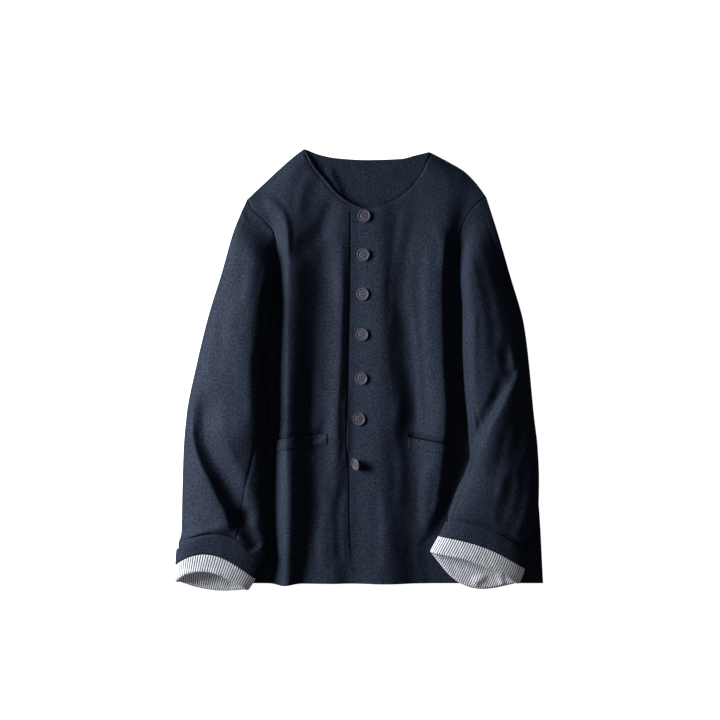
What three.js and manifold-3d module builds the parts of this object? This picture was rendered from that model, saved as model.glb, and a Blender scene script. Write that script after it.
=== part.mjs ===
// Collarless linen jacket, buttoned down the front and laid flat on its back with the sleeves down.
// Millimetres. X runs across, from the wearer's right sleeve (-X) to the left one (+X), Y runs from the hem
// to the neck, and Z stands on the surface that the jacket lies on.
import * as THREE from 'three';
import { mergeVertices } from 'three/addons/utils/BufferGeometryUtils.js';
import Module from 'manifold-3d';

const wasm = await Module();
wasm.setup();

// Driving dimensions
const cloth = 1.4;             // wall of one layer of linen with its seam allowances
const doubleCloth = 2.4;       // turned-up cuff, two layers
const seamGap = 0.3;           // between the sleeve and the back panel's armhole
const armholeGap = 0.35;       // between a sleeve's head and the armhole, where the cloth turns
const restGap = 0.4;           // between a layer and what it lies on
const hemY = -314.5;
const shoulderTipZ = 5;        // the sleeve's fulness lifts the end of the shoulder seam
const lapWidth = 33;           // the under front runs on this far beneath the buttoned edge
const lapLift = 2.1;           // the top front lies this much higher where it covers the under front
const lapEnd = [28, 56];       // the lift fades out between these two distances from the centre
const hemCorner = { x: 32, y: 46 };  // half axes of the rounded corner of the top front
const buttonRadius = 9.3;
const buttonHeight = 3.2;
const buttonHole = 0.95;       // radius of each of the four thread holes
const holeSpread = 2.1;        // from the button's middle to each hole, in X and in Y
const welt = { thickness: 1.4, depth: 15, lift: 0.5 };

// Ends of the two shoulder seams [x, y]
const neckPoint = { right: [-81.4, 327.8], left: [102.9, 323.3] };
const shoulderPoint = { right: [-165, 253.8], left: [187, 256.8] };

// Upper outlines [x, y]
const shoulderRight = [shoulderPoint.right, [-141.3, 276], [-117.6, 298.2], [-94, 318.6], neckPoint.right];
const shoulderLeft = [neckPoint.left, [131, 308.5], [154.7, 294.4], [170, 279.5], shoulderPoint.left];
const neckFrontRight = [neckPoint.right, [-67.3, 301.1], [-51, 281.9], [-34.7, 262.7], [-15.5, 248.6],
  [3, 240], [22, 236]];
const neckFrontLeft = [[-18, 241.5], [-11, 240.5], [8.2, 239], [23, 242.7], [40.8, 249.9], [54.1, 256.7],
  [67.4, 266.5], [80.1, 280.4], [93.3, 300.1], neckPoint.left];
const neckBack = [neckPoint.right, [-58.4, 318.9], [-34.7, 314.2], [10, 311.5], [60, 313], [83.7, 318.6],
  neckPoint.left];

// Side outlines [y, x], from the shoulder down: the armhole, then the side seam under the sleeve
const armholeEnd = { y: { right: 66, left: 70 }, x: { right: -172, left: 190 } };
const sideSeamRight = [[armholeEnd.y.right, armholeEnd.x.right], [-60, -195], [hemY, -229]];
const sideSeamLeft = [[armholeEnd.y.left, armholeEnd.x.left], [-60, 229], [-187, 264], [hemY, 271.6]];
const sideRight = [[254, -165], [239, -158.6], [228.6, -146.6], [214.3, -132.4], [205, -126.5], [185, -123],
  [150, -123.5], [120, -128], [98, -140], [80, -157], ...sideSeamRight];
const sideLeft = [[257, 187], [248, 175], [231.6, 160.6], [211, 151.5], [185, 147], [150, 146.5],
  [120, 151], [100, 164], [84, 178], ...sideSeamLeft];
const armholeBackRight = [[254, -165], [230, -167], [180, -169], [110, -171], ...sideSeamRight];
const armholeBackLeft = [[257, 187], [230, 188], [180, 189], [110, 190], ...sideSeamLeft];
const topEdge = [[241, -11], [163.5, -11.8], [30, -14.6], [-29, -15.5], [-100, -17.4], [-149, -13.5],
  [-232, -12.3], [hemY, -11.5]];

// Folds of the buttoned body, from neck to hem: place across (X) and height (Z) of each trough and crest.
const foldColumns = ['y', 'grooveR', 'grooveRz', 'crestR', 'crestRz', 'dipR', 'dipRz', 'swellR', 'swellRz',
  'edge', 'edgeZ', 'swellC', 'swellCz', 'dipL', 'dipLz', 'crestL', 'crestLz', 'grooveL', 'grooveLz'];
const foldRows = [
  [262, -150, 7, -106, 12, -56.8, 8.5, -27, 8.5, -11, 7.5, 35, 9, 76, 10, 129.8, 12, 165, 8],
  [215, -132, 8.5, -104, 17, -50, 8.5, -28, 9.5, -11, 8.5, 32, 12, 70, 10, 127, 16, 152, 8.5],
  [180, -123, 5, -103, 21, -52, 7.5, -27, 11, -12, 8.5, 34, 13, 60, 10, 122, 20, 146, 5],
  [120, -125, 3.6, -103, 24, -56, 7, -26, 13, -13, 8.5, 35, 15, 57, 10.5, 119, 22, 142, 3.6],
  [20, -127, 3.4, -104, 25, -62, 7, -29, 13, -15, 8, 40, 15.5, 66, 9.5, 121, 23, 144, 3.4],
  [-60, -128, 3.4, -105, 25, -70, 6.5, -33, 14, -16, 8, 48, 16, 79, 8, 125, 23, 148, 3.4],
  [-120, -131, 3.3, -106, 24, -66, 7, -34, 12.5, -17, 8, 37, 15, 78, 8.5, 121, 21, 145, 3.3],
  [-195, -132, 3.3, -104, 23, -64, 7, -38, 11, -12.5, 8, 40, 15, 84, 8, 112, 13, 131, 3.3],
  [-235, -132, 3.3, -104, 22, -70, 7.5, -40, 11.5, -12, 8, 42, 15.5, 82, 7.5, 98, 8, 113, 3.3],
  [-262, -132, 3.3, -105, 21, -76, 8, -41, 12, -12, 8, 44, 16, 78, 6, 86, 5, 99, 3.3],
  [hemY, -132, 3.3, -106, 20, -84, 8, -42, 12.5, -12, 8, 46, 17, 84, 6, 94, 5, 106, 3.3],
];

// Sleeves, from the armhole to the fold of the turned-up cuff. Outer and inner are the edges of the flattened
// tube, crown is its height, peak says how far across the crown lies (0 outer, 1 inner), edge is the height
// of the two edges, setback shifts the upper layer up the sleeve and bulge shifts the lower one down it, and
// seam is where the front seam runs on the upper layer, as a share of the width from the inner edge.
const sleeveColumns = ['outerX', 'outerY', 'innerX', 'innerY', 'crown', 'peak', 'edge', 'setback', 'bulge',
  'seam'];
const sleeveRowsRight = [
  [-165.5, 254, -123.5, 168, 9, 0.5, 4, 0, 0, 0.05],
  [-184, 211, -126, 128, 27, 0.5, 5, 0, 0, 0.05],
  [-204.9, 140, -129.4, 92, 34, 0.5, 5, 0, 0, 0.05],
  [-223, 81, -132, 56, 36, 0.52, 5, 0, 0, 0.05],
  [-240.4, 10, -141, 8, 36, 0.58, 5, 0, 0, 0.05],
  [-255, -62, -134.5, -62, 35, 0.58, 5, 0, 0, 0.08],
  [-260, -120, -138, -115, 34, 0.58, 5, 2, 0, 0.13],
  [-262, -190, -138, -180, 33, 0.56, 5, 8, 2, 0.24],
  [-263, -238, -136, -236, 34, 0.52, 6, 18, 4, 0.3],
  [-269.5, -263, -135.5, -266, 38, 0.45, 14, 24, 5, 0.32],
  [-271, -287, -152.5, -306, 36, 0.42, 14, 26, 6, 0.33],
  [-271.6, -311, -163, -323, 35, 0.42, 14, 21, 7, 0.33],
];
const sleeveRowsLeft = [
  [187.5, 257, 146.5, 168, 9, 0.5, 4, 0, 0, 0.05],
  [202, 211, 149, 128, 26, 0.6, 5, 0, 0, 0.05],
  [222.8, 140, 151.5, 90, 33, 0.64, 5, 0, 0, 0.05],
  [243, 68, 151.5, 40, 34, 0.64, 5, 0, 0, 0.05],
  [250.5, 10, 154, -18, 34, 0.62, 5, 0, 0, 0.05],
  [257, -62, 159.5, -80, 34, 0.58, 5, 0, 0, 0.06],
  [263, -115, 162, -124, 36, 0.56, 5, 0, 0, 0.06],
  [265, -160, 155, -150, 37, 0.55, 5, 0, 0, 0.06],
  [264.5, -195, 143, -176, 37, 0.54, 5, 3, 2, 0.06],
  [259, -226, 134, -200, 36, 0.52, 6, 8, 6, 0.06],
  [243.5, -265, 126.5, -221, 38, 0.5, 14, 12, 10, 0.06],
  [242.7, -291, 116, -243, 38, 0.5, 14, 9, 20, 0.06],
  [234.6, -314, 103, -267, 36, 0.5, 14, 8, 30, 0.06],
];

// Largest folds on the sleeves' upper layers: a path, a height (below 0 for a trough), and the width of each
// flank, left and right of the way that the path runs.
const creasesRight = [
  {
    height: -11,
    left: 30,
    right: 26,
    path: [[-246, -44], [-245, -76], [-236, -117], [-220, -151], [-205, -179], [-190, -219], [-176, -246]],
  },
];
const creasesLeft = [
  {
    height: 9,
    left: 44,
    right: 22,
    path: [[236, 36], [218, -38], [202, -69], [187, -102], [175, -128], [162, -158]],
  },
];

const pocketRight = { from: -121, to: -48, topFrom: -102, topTo: -93.3 };
const pocketLeft = { from: 71, to: 141, topFrom: -98.7, topTo: -111 };
const buttonPlaces = [[6.9, 227.6], [5.7, 170.4], [4.8, 112.6], [4, 53.1], [2.7, -11.6], [-0.4, -71.5],
  [-4.1, -137.5]];
const looseButton = { tilt: -48, turn: 15 };  // the lowest button hangs on its thread, on its edge

// Colours
const linen = { color: 0x1c2431, roughness: 0.9 };
const lining = { color: 0xb9bfcc, roughness: 0.85 };
const plastic = { color: 0x24242e, roughness: 0.5 };

const clamp01 = (value) => Math.min(1, Math.max(0, value));
const mix = (a, b, k) => a + (b - a) * k;

function smoothStep(from, to, value) {
  const k = clamp01((value - from) / (to - from));
  return k * k * (3 - 2 * k);
}

// Smooth curve through the knots that never overshoots them
function curveThrough(xs, ys, x) {
  const n = xs.length;
  if (x <= xs[0]) return ys[0];
  if (x >= xs[n - 1]) return ys[n - 1];
  let i = 0;
  while (x > xs[i + 1]) i += 1;
  const slope = (k) => (ys[k + 1] - ys[k]) / (xs[k + 1] - xs[k]);
  const tangent = (k) => {
    if (k === 0 || k === n - 1) return k === 0 ? slope(0) : slope(n - 2);
    const [before, after] = [slope(k - 1), slope(k)];
    return before * after <= 0 ? 0 : (2 * before * after) / (before + after);
  };
  const h = xs[i + 1] - xs[i];
  const t = (x - xs[i]) / h;
  const [a, b] = [tangent(i) * h, tangent(i + 1) * h];
  const [t2, t3] = [t * t, t * t * t];
  const ends = ys[i] * (2 * t3 - 3 * t2 + 1) + ys[i + 1] * (3 * t2 - 2 * t3);
  return ends + a * (t3 - 2 * t2 + t) + b * (t3 - t2);
}

// A row of a table between its rows, as an object with the column names
function tableRow(columns, rows, keys, key) {
  const row = {};
  columns.forEach((name, c) => {
    row[name] = curveThrough(keys, rows.map((r) => r[c]), key);
  });
  return row;
}

const along = (points, key) => curveThrough(points.map((p) => p[0]), points.map((p) => p[1]), key);
const down = (points, y) => along(points.map(([at, x]) => [-at, x]), -y);
const foldKeys = foldRows.map((row) => -row[0]);
const foldsAt = (y) => tableRow(foldColumns, foldRows, foldKeys, -y);

const sideHeight = cloth + restGap + cloth;  // top of a front where it lies flat on the back
const sideStrip = 9;           // the front comes down to that height this far outside its groove
const armholeLevels = [150, 185];  // between these levels the groove turns into the armhole seam
const fulness = { depth: 15, power: 1.3, neckLevel: 326 };  // how fast the folds rise below the shoulder
const tipWidth = 26;           // the lifted stretch of the shoulder seam

// Top of the cloth body above the surface, both fronts taken as one
function bodyHeight(x, y) {
  const f = foldsAt(y);
  const atArmhole = smoothStep(armholeLevels[0], armholeLevels[1], y);
  const xs = [f.grooveR - sideStrip, f.grooveR, f.crestR, f.dipR, f.swellR, f.edge, f.swellC, f.dipL,
    f.crestL, f.grooveL, f.grooveL + sideStrip];
  const zs = [mix(sideHeight, f.grooveRz, atArmhole), f.grooveRz, f.crestRz, f.dipRz, f.swellRz, f.edgeZ,
    f.swellCz, f.dipLz, f.crestLz, f.grooveLz, mix(sideHeight, f.grooveLz, atArmhole)];
  const height = curveThrough(xs, zs, x);
  const [hand, seam] = x < 0 ? ['right', shoulderRight] : ['left', shoulderLeft];
  const onShoulder = Math.abs(x) >= Math.abs(neckPoint[hand][0]);
  const drop = (onShoulder ? along(seam, x) : fulness.neckLevel) - y;
  const end = Math.abs(shoulderPoint[hand][0]);
  const edgeHeight = mix(sideHeight, shoulderTipZ, smoothStep(end - tipWidth, end, Math.abs(x)));
  const full = 1 - Math.exp(-((Math.max(drop, 0) / fulness.depth) ** fulness.power));
  return mix(Math.min(edgeHeight, height), height, full);
}

// Height of what a sleeve lies on: the body with a gap, falling to the surface beyond the side seams
const sideFall = { margin: 18, spread: 14, above: 25, reach: 3 };

function ground(x, y) {
  const { margin, spread, above, reach } = sideFall;
  const left = x > 0;
  const front = left ? sideLeft : sideRight;
  const back = left ? armholeBackLeft : armholeBackRight;
  const insideAt = (line, level) => (left ? down(line, level) - x : x - down(line, level));
  const inside = (line) => Math.max(insideAt(line, y - above), insideAt(line, y));
  const overFront = smoothStep(-margin - spread, -margin, inside(front));
  const overBack = smoothStep(-margin - spread, -margin, inside(back));
  const top = Math.max(bodyHeight(x, y), bodyHeight(x - reach, y), bodyHeight(x + reach, y));
  return Math.max((top + restGap) * overFront, (cloth + restGap) * overBack);
}

// Solids from grids of points on the outer side of the cloth
function surfaceNormals(grid, closed) {
  const columns = grid[0].length;
  return grid.map((row, r) => row.map((point, c) => {
    const up = grid[Math.max(r - 1, 0)][c];
    const below = grid[Math.min(r + 1, grid.length - 1)][c];
    const before = closed ? row[(c + columns - 1) % columns] : row[Math.max(c - 1, 0)];
    const after = closed ? row[(c + 1) % columns] : row[Math.min(c + 1, columns - 1)];
    const acrossWay = new THREE.Vector3().subVectors(after, before);
    const alongWay = new THREE.Vector3().subVectors(below, up);
    return new THREE.Vector3().crossVectors(alongWay, acrossWay).normalize();
  }));
}

function gridGeometry(layers, closed) {
  const [outer, inner] = layers;
  const rows = outer.length;
  const columns = outer[0].length;
  const positions = [];
  layers.forEach((grid) => grid.forEach((row) => row.forEach((p) => positions.push(p.x, p.y, p.z))));
  const id = (layer, r, c) => layer * rows * columns + r * columns + (c % columns);
  const faces = [];
  const quad = (a, b, c, d) => faces.push(a, b, c, a, c, d);
  const spans = closed ? columns : columns - 1;
  for (let r = 0; r < rows - 1; r += 1) {
    for (let c = 0; c < spans; c += 1) {
      quad(id(0, r, c), id(0, r + 1, c), id(0, r + 1, c + 1), id(0, r, c + 1));
      quad(id(1, r, c), id(1, r, c + 1), id(1, r + 1, c + 1), id(1, r + 1, c));
    }
  }
  for (let c = 0; c < spans; c += 1) {
    quad(id(0, 0, c), id(0, 0, c + 1), id(1, 0, c + 1), id(1, 0, c));
    quad(id(0, rows - 1, c), id(1, rows - 1, c), id(1, rows - 1, c + 1), id(0, rows - 1, c + 1));
  }
  if (!closed) {
    for (let r = 0; r < rows - 1; r += 1) {
      quad(id(0, r, 0), id(1, r, 0), id(1, r + 1, 0), id(0, r + 1, 0));
      const last = columns - 1;
      quad(id(0, r, last), id(0, r + 1, last), id(1, r + 1, last), id(1, r, last));
    }
  }
  const geometry = new THREE.BufferGeometry();
  geometry.setAttribute('position', new THREE.Float32BufferAttribute(positions, 3));
  geometry.setIndex(faces);
  return geometry;
}

// Wall of a front: nearly straight down at its sewn edges, so that they meet their neighbours squarely
const squareness = 0.8;

function clothWall(grid, thickness) {
  const normals = surfaceNormals(grid, false);
  const straight = new THREE.Vector3(0, 0, 1);
  const inner = grid.map((row, r) => row.map((p, c) => {
    const atEdge = r === 0 || c === 0 || c === row.length - 1;
    const way = normals[r][c].lerp(straight, atEdge ? squareness : 0).normalize();
    return p.clone().addScaledVector(way, -thickness);
  }));
  return gridGeometry([grid, inner], false);
}

// Column places of a front across one row: even steps between the folds that the front takes in
function columnPlaces(stops, counts) {
  const places = [stops[0]];
  counts.forEach((count, s) => {
    for (let k = 1; k <= count; k += 1) places.push(mix(stops[s], stops[s + 1], k / count));
  });
  return places;
}

const minStep = 8;  // least distance between two folds' columns where the armhole squeezes them

function rightStops(y) {
  const f = foldsAt(y);
  const side = down(sideRight, y);
  const groove = Math.max(f.grooveR, side + minStep);
  const crest = Math.max(f.crestR, groove + minStep);
  const edge = down(topEdge, y);
  return [side, groove, crest, f.dipR, f.swellR, edge, edge + lapWidth];
}

function leftStops(y) {
  const f = foldsAt(y);
  const side = down(sideLeft, y);
  const groove = Math.min(f.grooveL, side - minStep);
  const crest = Math.min(f.crestL, groove - minStep);
  return [down(topEdge, y), f.swellC, f.dipL, crest, groove, side];
}

const armholeRows = 10;        // rows of a front beside the visible armhole seam
const underarmRows = 4;        // rows beside the stretch of it that turns under the sleeve
const sideRows = 11;
const rightCounts = [5, 4, 4, 3, 2, 3];
const leftCounts = [5, 3, 4, 4, 5];

// Rows are spaced so that the armhole's rows fall on the sleeve's columns
function rowShares(top, turn, underarm) {
  const shares = [];
  const full = top - hemY;
  for (let k = 0; k <= armholeRows; k += 1) shares.push(((top - turn) * k) / armholeRows / full);
  for (let k = 1; k <= underarmRows; k += 1) {
    shares.push((top - turn + ((turn - underarm) * k) / underarmRows) / full);
  }
  for (let k = 1; k <= sideRows; k += 1) {
    shares.push((top - underarm + ((underarm - hemY) * k) / sideRows) / full);
  }
  return shares;
}

const topRight = (x) => along(x < neckPoint.right[0] ? shoulderRight : neckFrontRight, x);
const topLeft = (x) => along(x > neckPoint.left[0] ? shoulderLeft : neckFrontLeft, x);

// The square corner at the hem is drawn into a quarter of an ellipse
function roundCorner(x, y) {
  const centre = { x: down(topEdge, hemY) + hemCorner.x, y: hemY + hemCorner.y };
  const a = (centre.x - x) / hemCorner.x;
  const b = (centre.y - y) / hemCorner.y;
  if (a <= 0 || b <= 0) return [x, y];
  return [centre.x - hemCorner.x * a * Math.sqrt(1 - (b * b) / 2),
    centre.y - hemCorner.y * b * Math.sqrt(1 - (a * a) / 2)];
}

const noCorner = (x, y) => [x, y];
const topLevel = foldRows[0][0];

function frontGrid(stopsAt, counts, topAt, shares, heightAt, cornerAt) {
  const topPlaces = columnPlaces(stopsAt(topLevel), counts);
  return shares.map((share) => topPlaces.map((topX, c) => {
    const level = mix(topAt(topX), hemY, share);
    const [x, y] = cornerAt(columnPlaces(stopsAt(level), counts)[c], level);
    return new THREE.Vector3(x, y, heightAt(x, y));
  }));
}

const armholeTurn = 168;       // the armhole turns under the sleeve here
const sharesRight = rowShares(sideRight[0][0], armholeTurn, armholeEnd.y.right);
const sharesLeft = rowShares(sideLeft[0][0], armholeTurn, armholeEnd.y.left);

function lapHeight(x, y) {
  return bodyHeight(x, y) + lapLift * (1 - smoothStep(lapEnd[0], lapEnd[1], x));
}

const gridRight = frontGrid(rightStops, rightCounts, topRight, sharesRight, bodyHeight, noCorner);
const gridLeft = frontGrid(leftStops, leftCounts, topLeft, sharesLeft, lapHeight, roundCorner);

function backGeometry() {
  const columns = 18;
  const rows = 15;
  const grid = [];
  const crowding = 1.15;       // the rows stand closer towards the neck
  const topAt = (x) => {
    if (x < neckPoint.right[0]) return along(shoulderRight, x);
    return x > neckPoint.left[0] ? along(shoulderLeft, x) : along(neckBack, x);
  };
  for (let r = 0; r <= rows; r += 1) {
    const row = [];
    for (let c = 0; c <= columns; c += 1) {
      const share = c / columns;
      const top = topAt(mix(shoulderPoint.right[0], shoulderPoint.left[0], share));
      const y = mix(top, hemY, (r / rows) ** crowding);
      const x = mix(down(armholeBackRight, y), down(armholeBackLeft, y), share);
      row.push(new THREE.Vector3(x, y, cloth));
    }
    grid.push(row);
  }
  const under = grid.map((row) => row.map((p) => new THREE.Vector3(p.x, p.y, 0)));
  return gridGeometry([grid, under], false);
}

// Height that the creases add at a place
const creaseEnds = 0.22;       // share of a crease's length over which it dies out at each end

function creaseHeight(creases, x, y) {
  let sum = 0;
  creases.forEach((crease) => {
    const { path } = crease;
    const lengths = path.slice(1).map((p, i) => Math.hypot(p[0] - path[i][0], p[1] - path[i][1]));
    const total = lengths.reduce((a, b) => a + b, 0);
    let best = { distance: Infinity };
    let walked = 0;
    lengths.forEach((length, i) => {
      const [ax, ay] = path[i];
      const way = [(path[i + 1][0] - ax) / length, (path[i + 1][1] - ay) / length];
      const t = Math.min(length, Math.max(0, (x - ax) * way[0] + (y - ay) * way[1]));
      const offset = [x - ax - way[0] * t, y - ay - way[1] * t];
      const distance = Math.hypot(offset[0], offset[1]);
      if (distance < best.distance) {
        best = { distance, at: (walked + t) / total, left: way[0] * offset[1] - way[1] * offset[0] > 0 };
      }
      walked += length;
    });
    const width = best.left ? crease.left : crease.right;
    if (best.distance < width) {
      const profile = 0.5 + 0.5 * Math.cos((Math.PI * best.distance) / width);
      const ends = smoothStep(0, creaseEnds, best.at) * smoothStep(0, creaseEnds, 1 - best.at);
      sum += crease.height * profile * ends;
    }
  });
  return sum;
}

// Points of a flattened sleeve tube. station is the place along the sleeve in rows of its table, share is 0
// at the outer edge and 1 at the inner one, and inset moves the point into the tube.
const leastHollow = 2 * cloth + 2.2;
const boxiness = 5;            // power of the lower layer's section, which lies nearly flat
const lowerBow = 0.1;          // in the cuff it bows up in the middle by this share of its inset
const roundness = 2.2;         // power of the upper layer's section

const superEllipse = (share, power) => Math.max(0, 1 - Math.abs(2 * share - 1) ** power) ** (1 / power);
const lowerHeight = (x, y, share, inset) => (
  ground(x, y) + inset * (1 + lowerBow * Math.sin(Math.PI * share)));

function tubePoint(sleeve, station, share, upper, inset) {
  const row = tableRow(sleeveColumns, sleeve.rows, sleeve.keys, station);
  const outer = new THREE.Vector2(row.outerX, row.outerY);
  const inner = new THREE.Vector2(row.innerX, row.innerY);
  const way = inner.clone().sub(outer);
  const width = way.length();
  way.divideScalar(width);
  const upWay = new THREE.Vector2(way.y, -way.x).multiplyScalar(sleeve.side);
  const at = outer.clone().addScaledVector(way, inset + (width - 2 * inset) * share);
  const outerZ = ground(outer.x, outer.y) + row.edge;
  const innerZ = ground(inner.x, inner.y) + row.edge;
  const edgeZ = mix(outerZ, innerZ, share);
  if (!upper) {
    at.addScaledVector(upWay, -row.bulge * Math.sin(Math.PI * share));
    const bottom = lowerHeight(at.x, at.y, share, inset);
    return new THREE.Vector3(at.x, at.y, mix(edgeZ, bottom, superEllipse(share, boxiness)));
  }
  const skew = share ** (Math.log(0.5) / Math.log(row.peak));
  at.addScaledVector(upWay, row.setback * Math.sin(Math.PI * skew));
  const dome = superEllipse(skew, roundness);
  const lift = creaseHeight(sleeve.creases, at.x, at.y) * dome;
  const z = mix(edgeZ, row.crown - inset, dome) + lift;
  return new THREE.Vector3(at.x, at.y, Math.max(z, ground(at.x, at.y) + leastHollow * dome));
}

const seamColumns = [0, 0.03, 0.1, 0.2, 0.32, 0.46, 0.6, 0.74, 0.88, 1];  // upper layer, outer edge to seam
const lowerShares = [1, 0.97, 0.88, 0.75, 0.6, 0.45, 0.3, 0.15, 0.05, 0];
const bandStart = (sleeve) => sleeve.rows.length - 3;
const sleeveInset = 3;         // the sleeve's wall inside its turned-up cuff
const armholeFade = { upper: 3.2, lower: 5.2 };  // rows over which the armhole's curve dies out in the tube
const sleeveHead = { rise: 1.3, drop: 0.2 };     // rows over which the two layers reach their own heights
const underarmLift = 0.2;      // beside the underarm the sleeve's edge lies this much above the rest gap
const backLift = 0.1;          // and beside the back's armhole this much

// First ring of the sleeve: along the front's armhole edge, under the sleeve to the underarm, and back up the
// back panel's armhole to the shoulder.
function armholeRing(sleeve) {
  const edgeColumn = sleeve.side > 0 ? sleeve.grid[0].length - 1 : 0;
  const edge = sleeve.grid.slice(0, armholeRows + underarmRows + 1).map((row) => row[edgeColumn]);
  const away = (points, i) => {
    const before = points[Math.max(i - 1, 0)];
    const after = points[Math.min(i + 1, points.length - 1)];
    const way = new THREE.Vector2(after.x - before.x, after.y - before.y).normalize();
    return sleeve.side > 0 ? new THREE.Vector2(-way.y, way.x) : new THREE.Vector2(way.y, -way.x);
  };
  const moved = edge.map((p, i) => {
    const out = away(edge, i).multiplyScalar(armholeGap);
    const lapped = i > armholeRows ? restGap + underarmLift : 0;
    return new THREE.Vector3(p.x + out.x, p.y + out.y, p.z + lapped);
  });
  const upper = moved.slice(0, armholeRows + 1);
  const lower = moved.slice(armholeRows);
  const back = sleeve.side > 0 ? armholeBackLeft : armholeBackRight;
  const steps = lowerShares.length - lower.length;
  const from = moved[moved.length - 1];
  const to = moved[0];
  for (let k = 1; k <= steps; k += 1) {
    const y = mix(from.y, to.y, k / steps);
    const x = down(back, y) + sleeve.side * seamGap;
    const z = Math.max(cloth + restGap, ground(x, y)) + backLift;
    lower.push(k === steps ? to.clone() : new THREE.Vector3(x, y, z));
  }
  return { upper, lower };
}

const headStations = [0, 0.3, 0.65, 1.05, 1.5, 2, 2.6, 3.2, 3.8, 4.4];

const sharesAcross = (seam) => [...seamColumns.map((k) => k * (1 - seam)), 1];

function sleeveRings(sleeve) {
  const first = armholeRing(sleeve);
  const start = tableRow(sleeveColumns, sleeve.rows, sleeve.keys, 0);
  const last = bandStart(sleeve);
  const middle = [];
  for (let s = 5; s < last - 0.7; s += 0.5) middle.push(s);
  const inCuffStations = [-0.5, 0, 0.5, 1, 1.5, 1.8].map((k) => last + k);
  return [...headStations, ...middle, ...inCuffStations].map((station) => {
    const row = tableRow(sleeveColumns, sleeve.rows, sleeve.keys, station);
    const inset = sleeveInset * smoothStep(last - 0.55, last, station);
    const upperFade = 1 - smoothStep(0, armholeFade.upper, station);
    const lowerFade = 1 - clamp01(station / armholeFade.lower);
    const rise = smoothStep(0, sleeveHead.rise, station);
    const drop = smoothStep(0, sleeveHead.drop, station);
    const place = (share, upper, own) => {
      const p = tubePoint(sleeve, station, share, upper, inset);
      const fade = upper ? upperFade : lowerFade;
      p.x += fade * (own.x - mix(start.outerX, start.innerX, share));
      p.y += fade * (own.y - mix(start.outerY, start.innerY, share));
      if (!upper && share > 0 && share < 1) {
        const edgeZ = ground(p.x, p.y) + row.edge;
        const bottom = lowerHeight(p.x, p.y, share, inset);
        if (fade > 0) p.z = mix(edgeZ, bottom, superEllipse(share, boxiness));
      }
      p.z = mix(own.z, p.z, upper || share === 0 || share === 1 ? rise : drop);
      return p;
    };
    const ring = (at) => [
      ...sharesAcross(row.seam).map((share, j) => at(share, true, first.upper[j])),
      ...lowerShares.slice(1, -1).map((share, j) => at(share, false, first.lower[j + 1])),
    ];
    return {
      outer: ring(place),
      nested: ring((share, upper) => tubePoint(sleeve, station, share, upper, inset + cloth)),
      inCuff: smoothStep(last - 0.6, last, station),
    };
  });
}

// The top sleeve takes the upper layer as far as the front seam and laps round the outer edge to the back
// seam; the under sleeve takes the rest.
const sewnGap = 0.17;          // half the gap of a sleeve's seam, measured along the coarse grid

function sleevePieces(sleeve) {
  const rings = sleeveRings(sleeve);
  const outer = rings.map((ring) => ring.outer);
  const normals = surfaceNormals(outer, true);
  const inner = rings.map(({ nested, inCuff }, r) => outer[r].map((p, c) => (
    p.clone().addScaledVector(normals[r][c], sleeve.side * cloth).lerp(nested[c], inCuff))));
  const columns = outer[0].length;
  const top = [columns - 1, ...Array(armholeRows).keys()];
  const under = [...Array(columns - armholeRows + 1).keys()].map((k) => k + armholeRows - 1);
  return [top, under].map((picked) => {
    const layers = [outer, inner].map((grid) => grid.map((row) => {
      const part = picked.map((c) => row[c].clone());
      const shrink = (end, next) => end.addScaledVector(next.clone().sub(end).normalize(), sewnGap);
      shrink(part[0], part[1]);
      shrink(part[part.length - 1], part[part.length - 2]);
      return sleeve.side > 0 ? part.reverse() : part;
    }));
    return gridGeometry(layers, false);
  });
}

// Rings of the turned-up cuff: a profile of stations and insets, carried all round the tube
function cuffGeometry(sleeve, profile) {
  const rings = profile.map(([station, inset]) => {
    const at = bandStart(sleeve) + station;
    const { seam } = tableRow(sleeveColumns, sleeve.rows, sleeve.keys, at);
    const ring = [...sharesAcross(seam).map((share) => tubePoint(sleeve, at, share, true, inset)),
      ...lowerShares.slice(1, -1).map((share) => tubePoint(sleeve, at, share, false, inset))];
    return sleeve.side > 0 ? ring.reverse() : ring;
  });
  const columns = rings[0].length;
  const positions = rings.flat().flatMap((p) => [p.x, p.y, p.z]);
  const faces = [];
  rings.forEach((ring, r) => {
    const next = (r + 1) % rings.length;
    for (let c = 0; c < columns; c += 1) {
      const d = (c + 1) % columns;
      const [a, b, e, f] = [r * columns + c, next * columns + c, next * columns + d, r * columns + d];
      faces.push(a, b, e, a, e, f);
    }
  });
  const geometry = new THREE.BufferGeometry();
  geometry.setAttribute('position', new THREE.Float32BufferAttribute(positions, 3));
  geometry.setIndex(faces);
  return geometry;
}

const bandProfile = [[0, 0], [0.5, 0], [0.97, 0], [0.97, doubleCloth], [0.5, doubleCloth], [0, doubleCloth]];
const liningInner = 6.4;       // inner side of the lining, from the cuff's outer side
const liningOuter = liningInner - cloth;
const liningProfile = [[1, 0], [1.5, 0], [1.88, 0], [1.97, 1], [2, liningInner / 2], [1.97, liningInner - 1],
  [1.88, liningInner], [1, liningInner], [0.5, liningInner], [0, liningInner], [-0.5, liningInner],
  [-0.5, liningOuter], [0, liningOuter], [0.5, liningOuter], [1, liningOuter], [1.88, liningOuter],
  [1.88, doubleCloth], [1.5, doubleCloth], [1, doubleCloth]];

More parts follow.
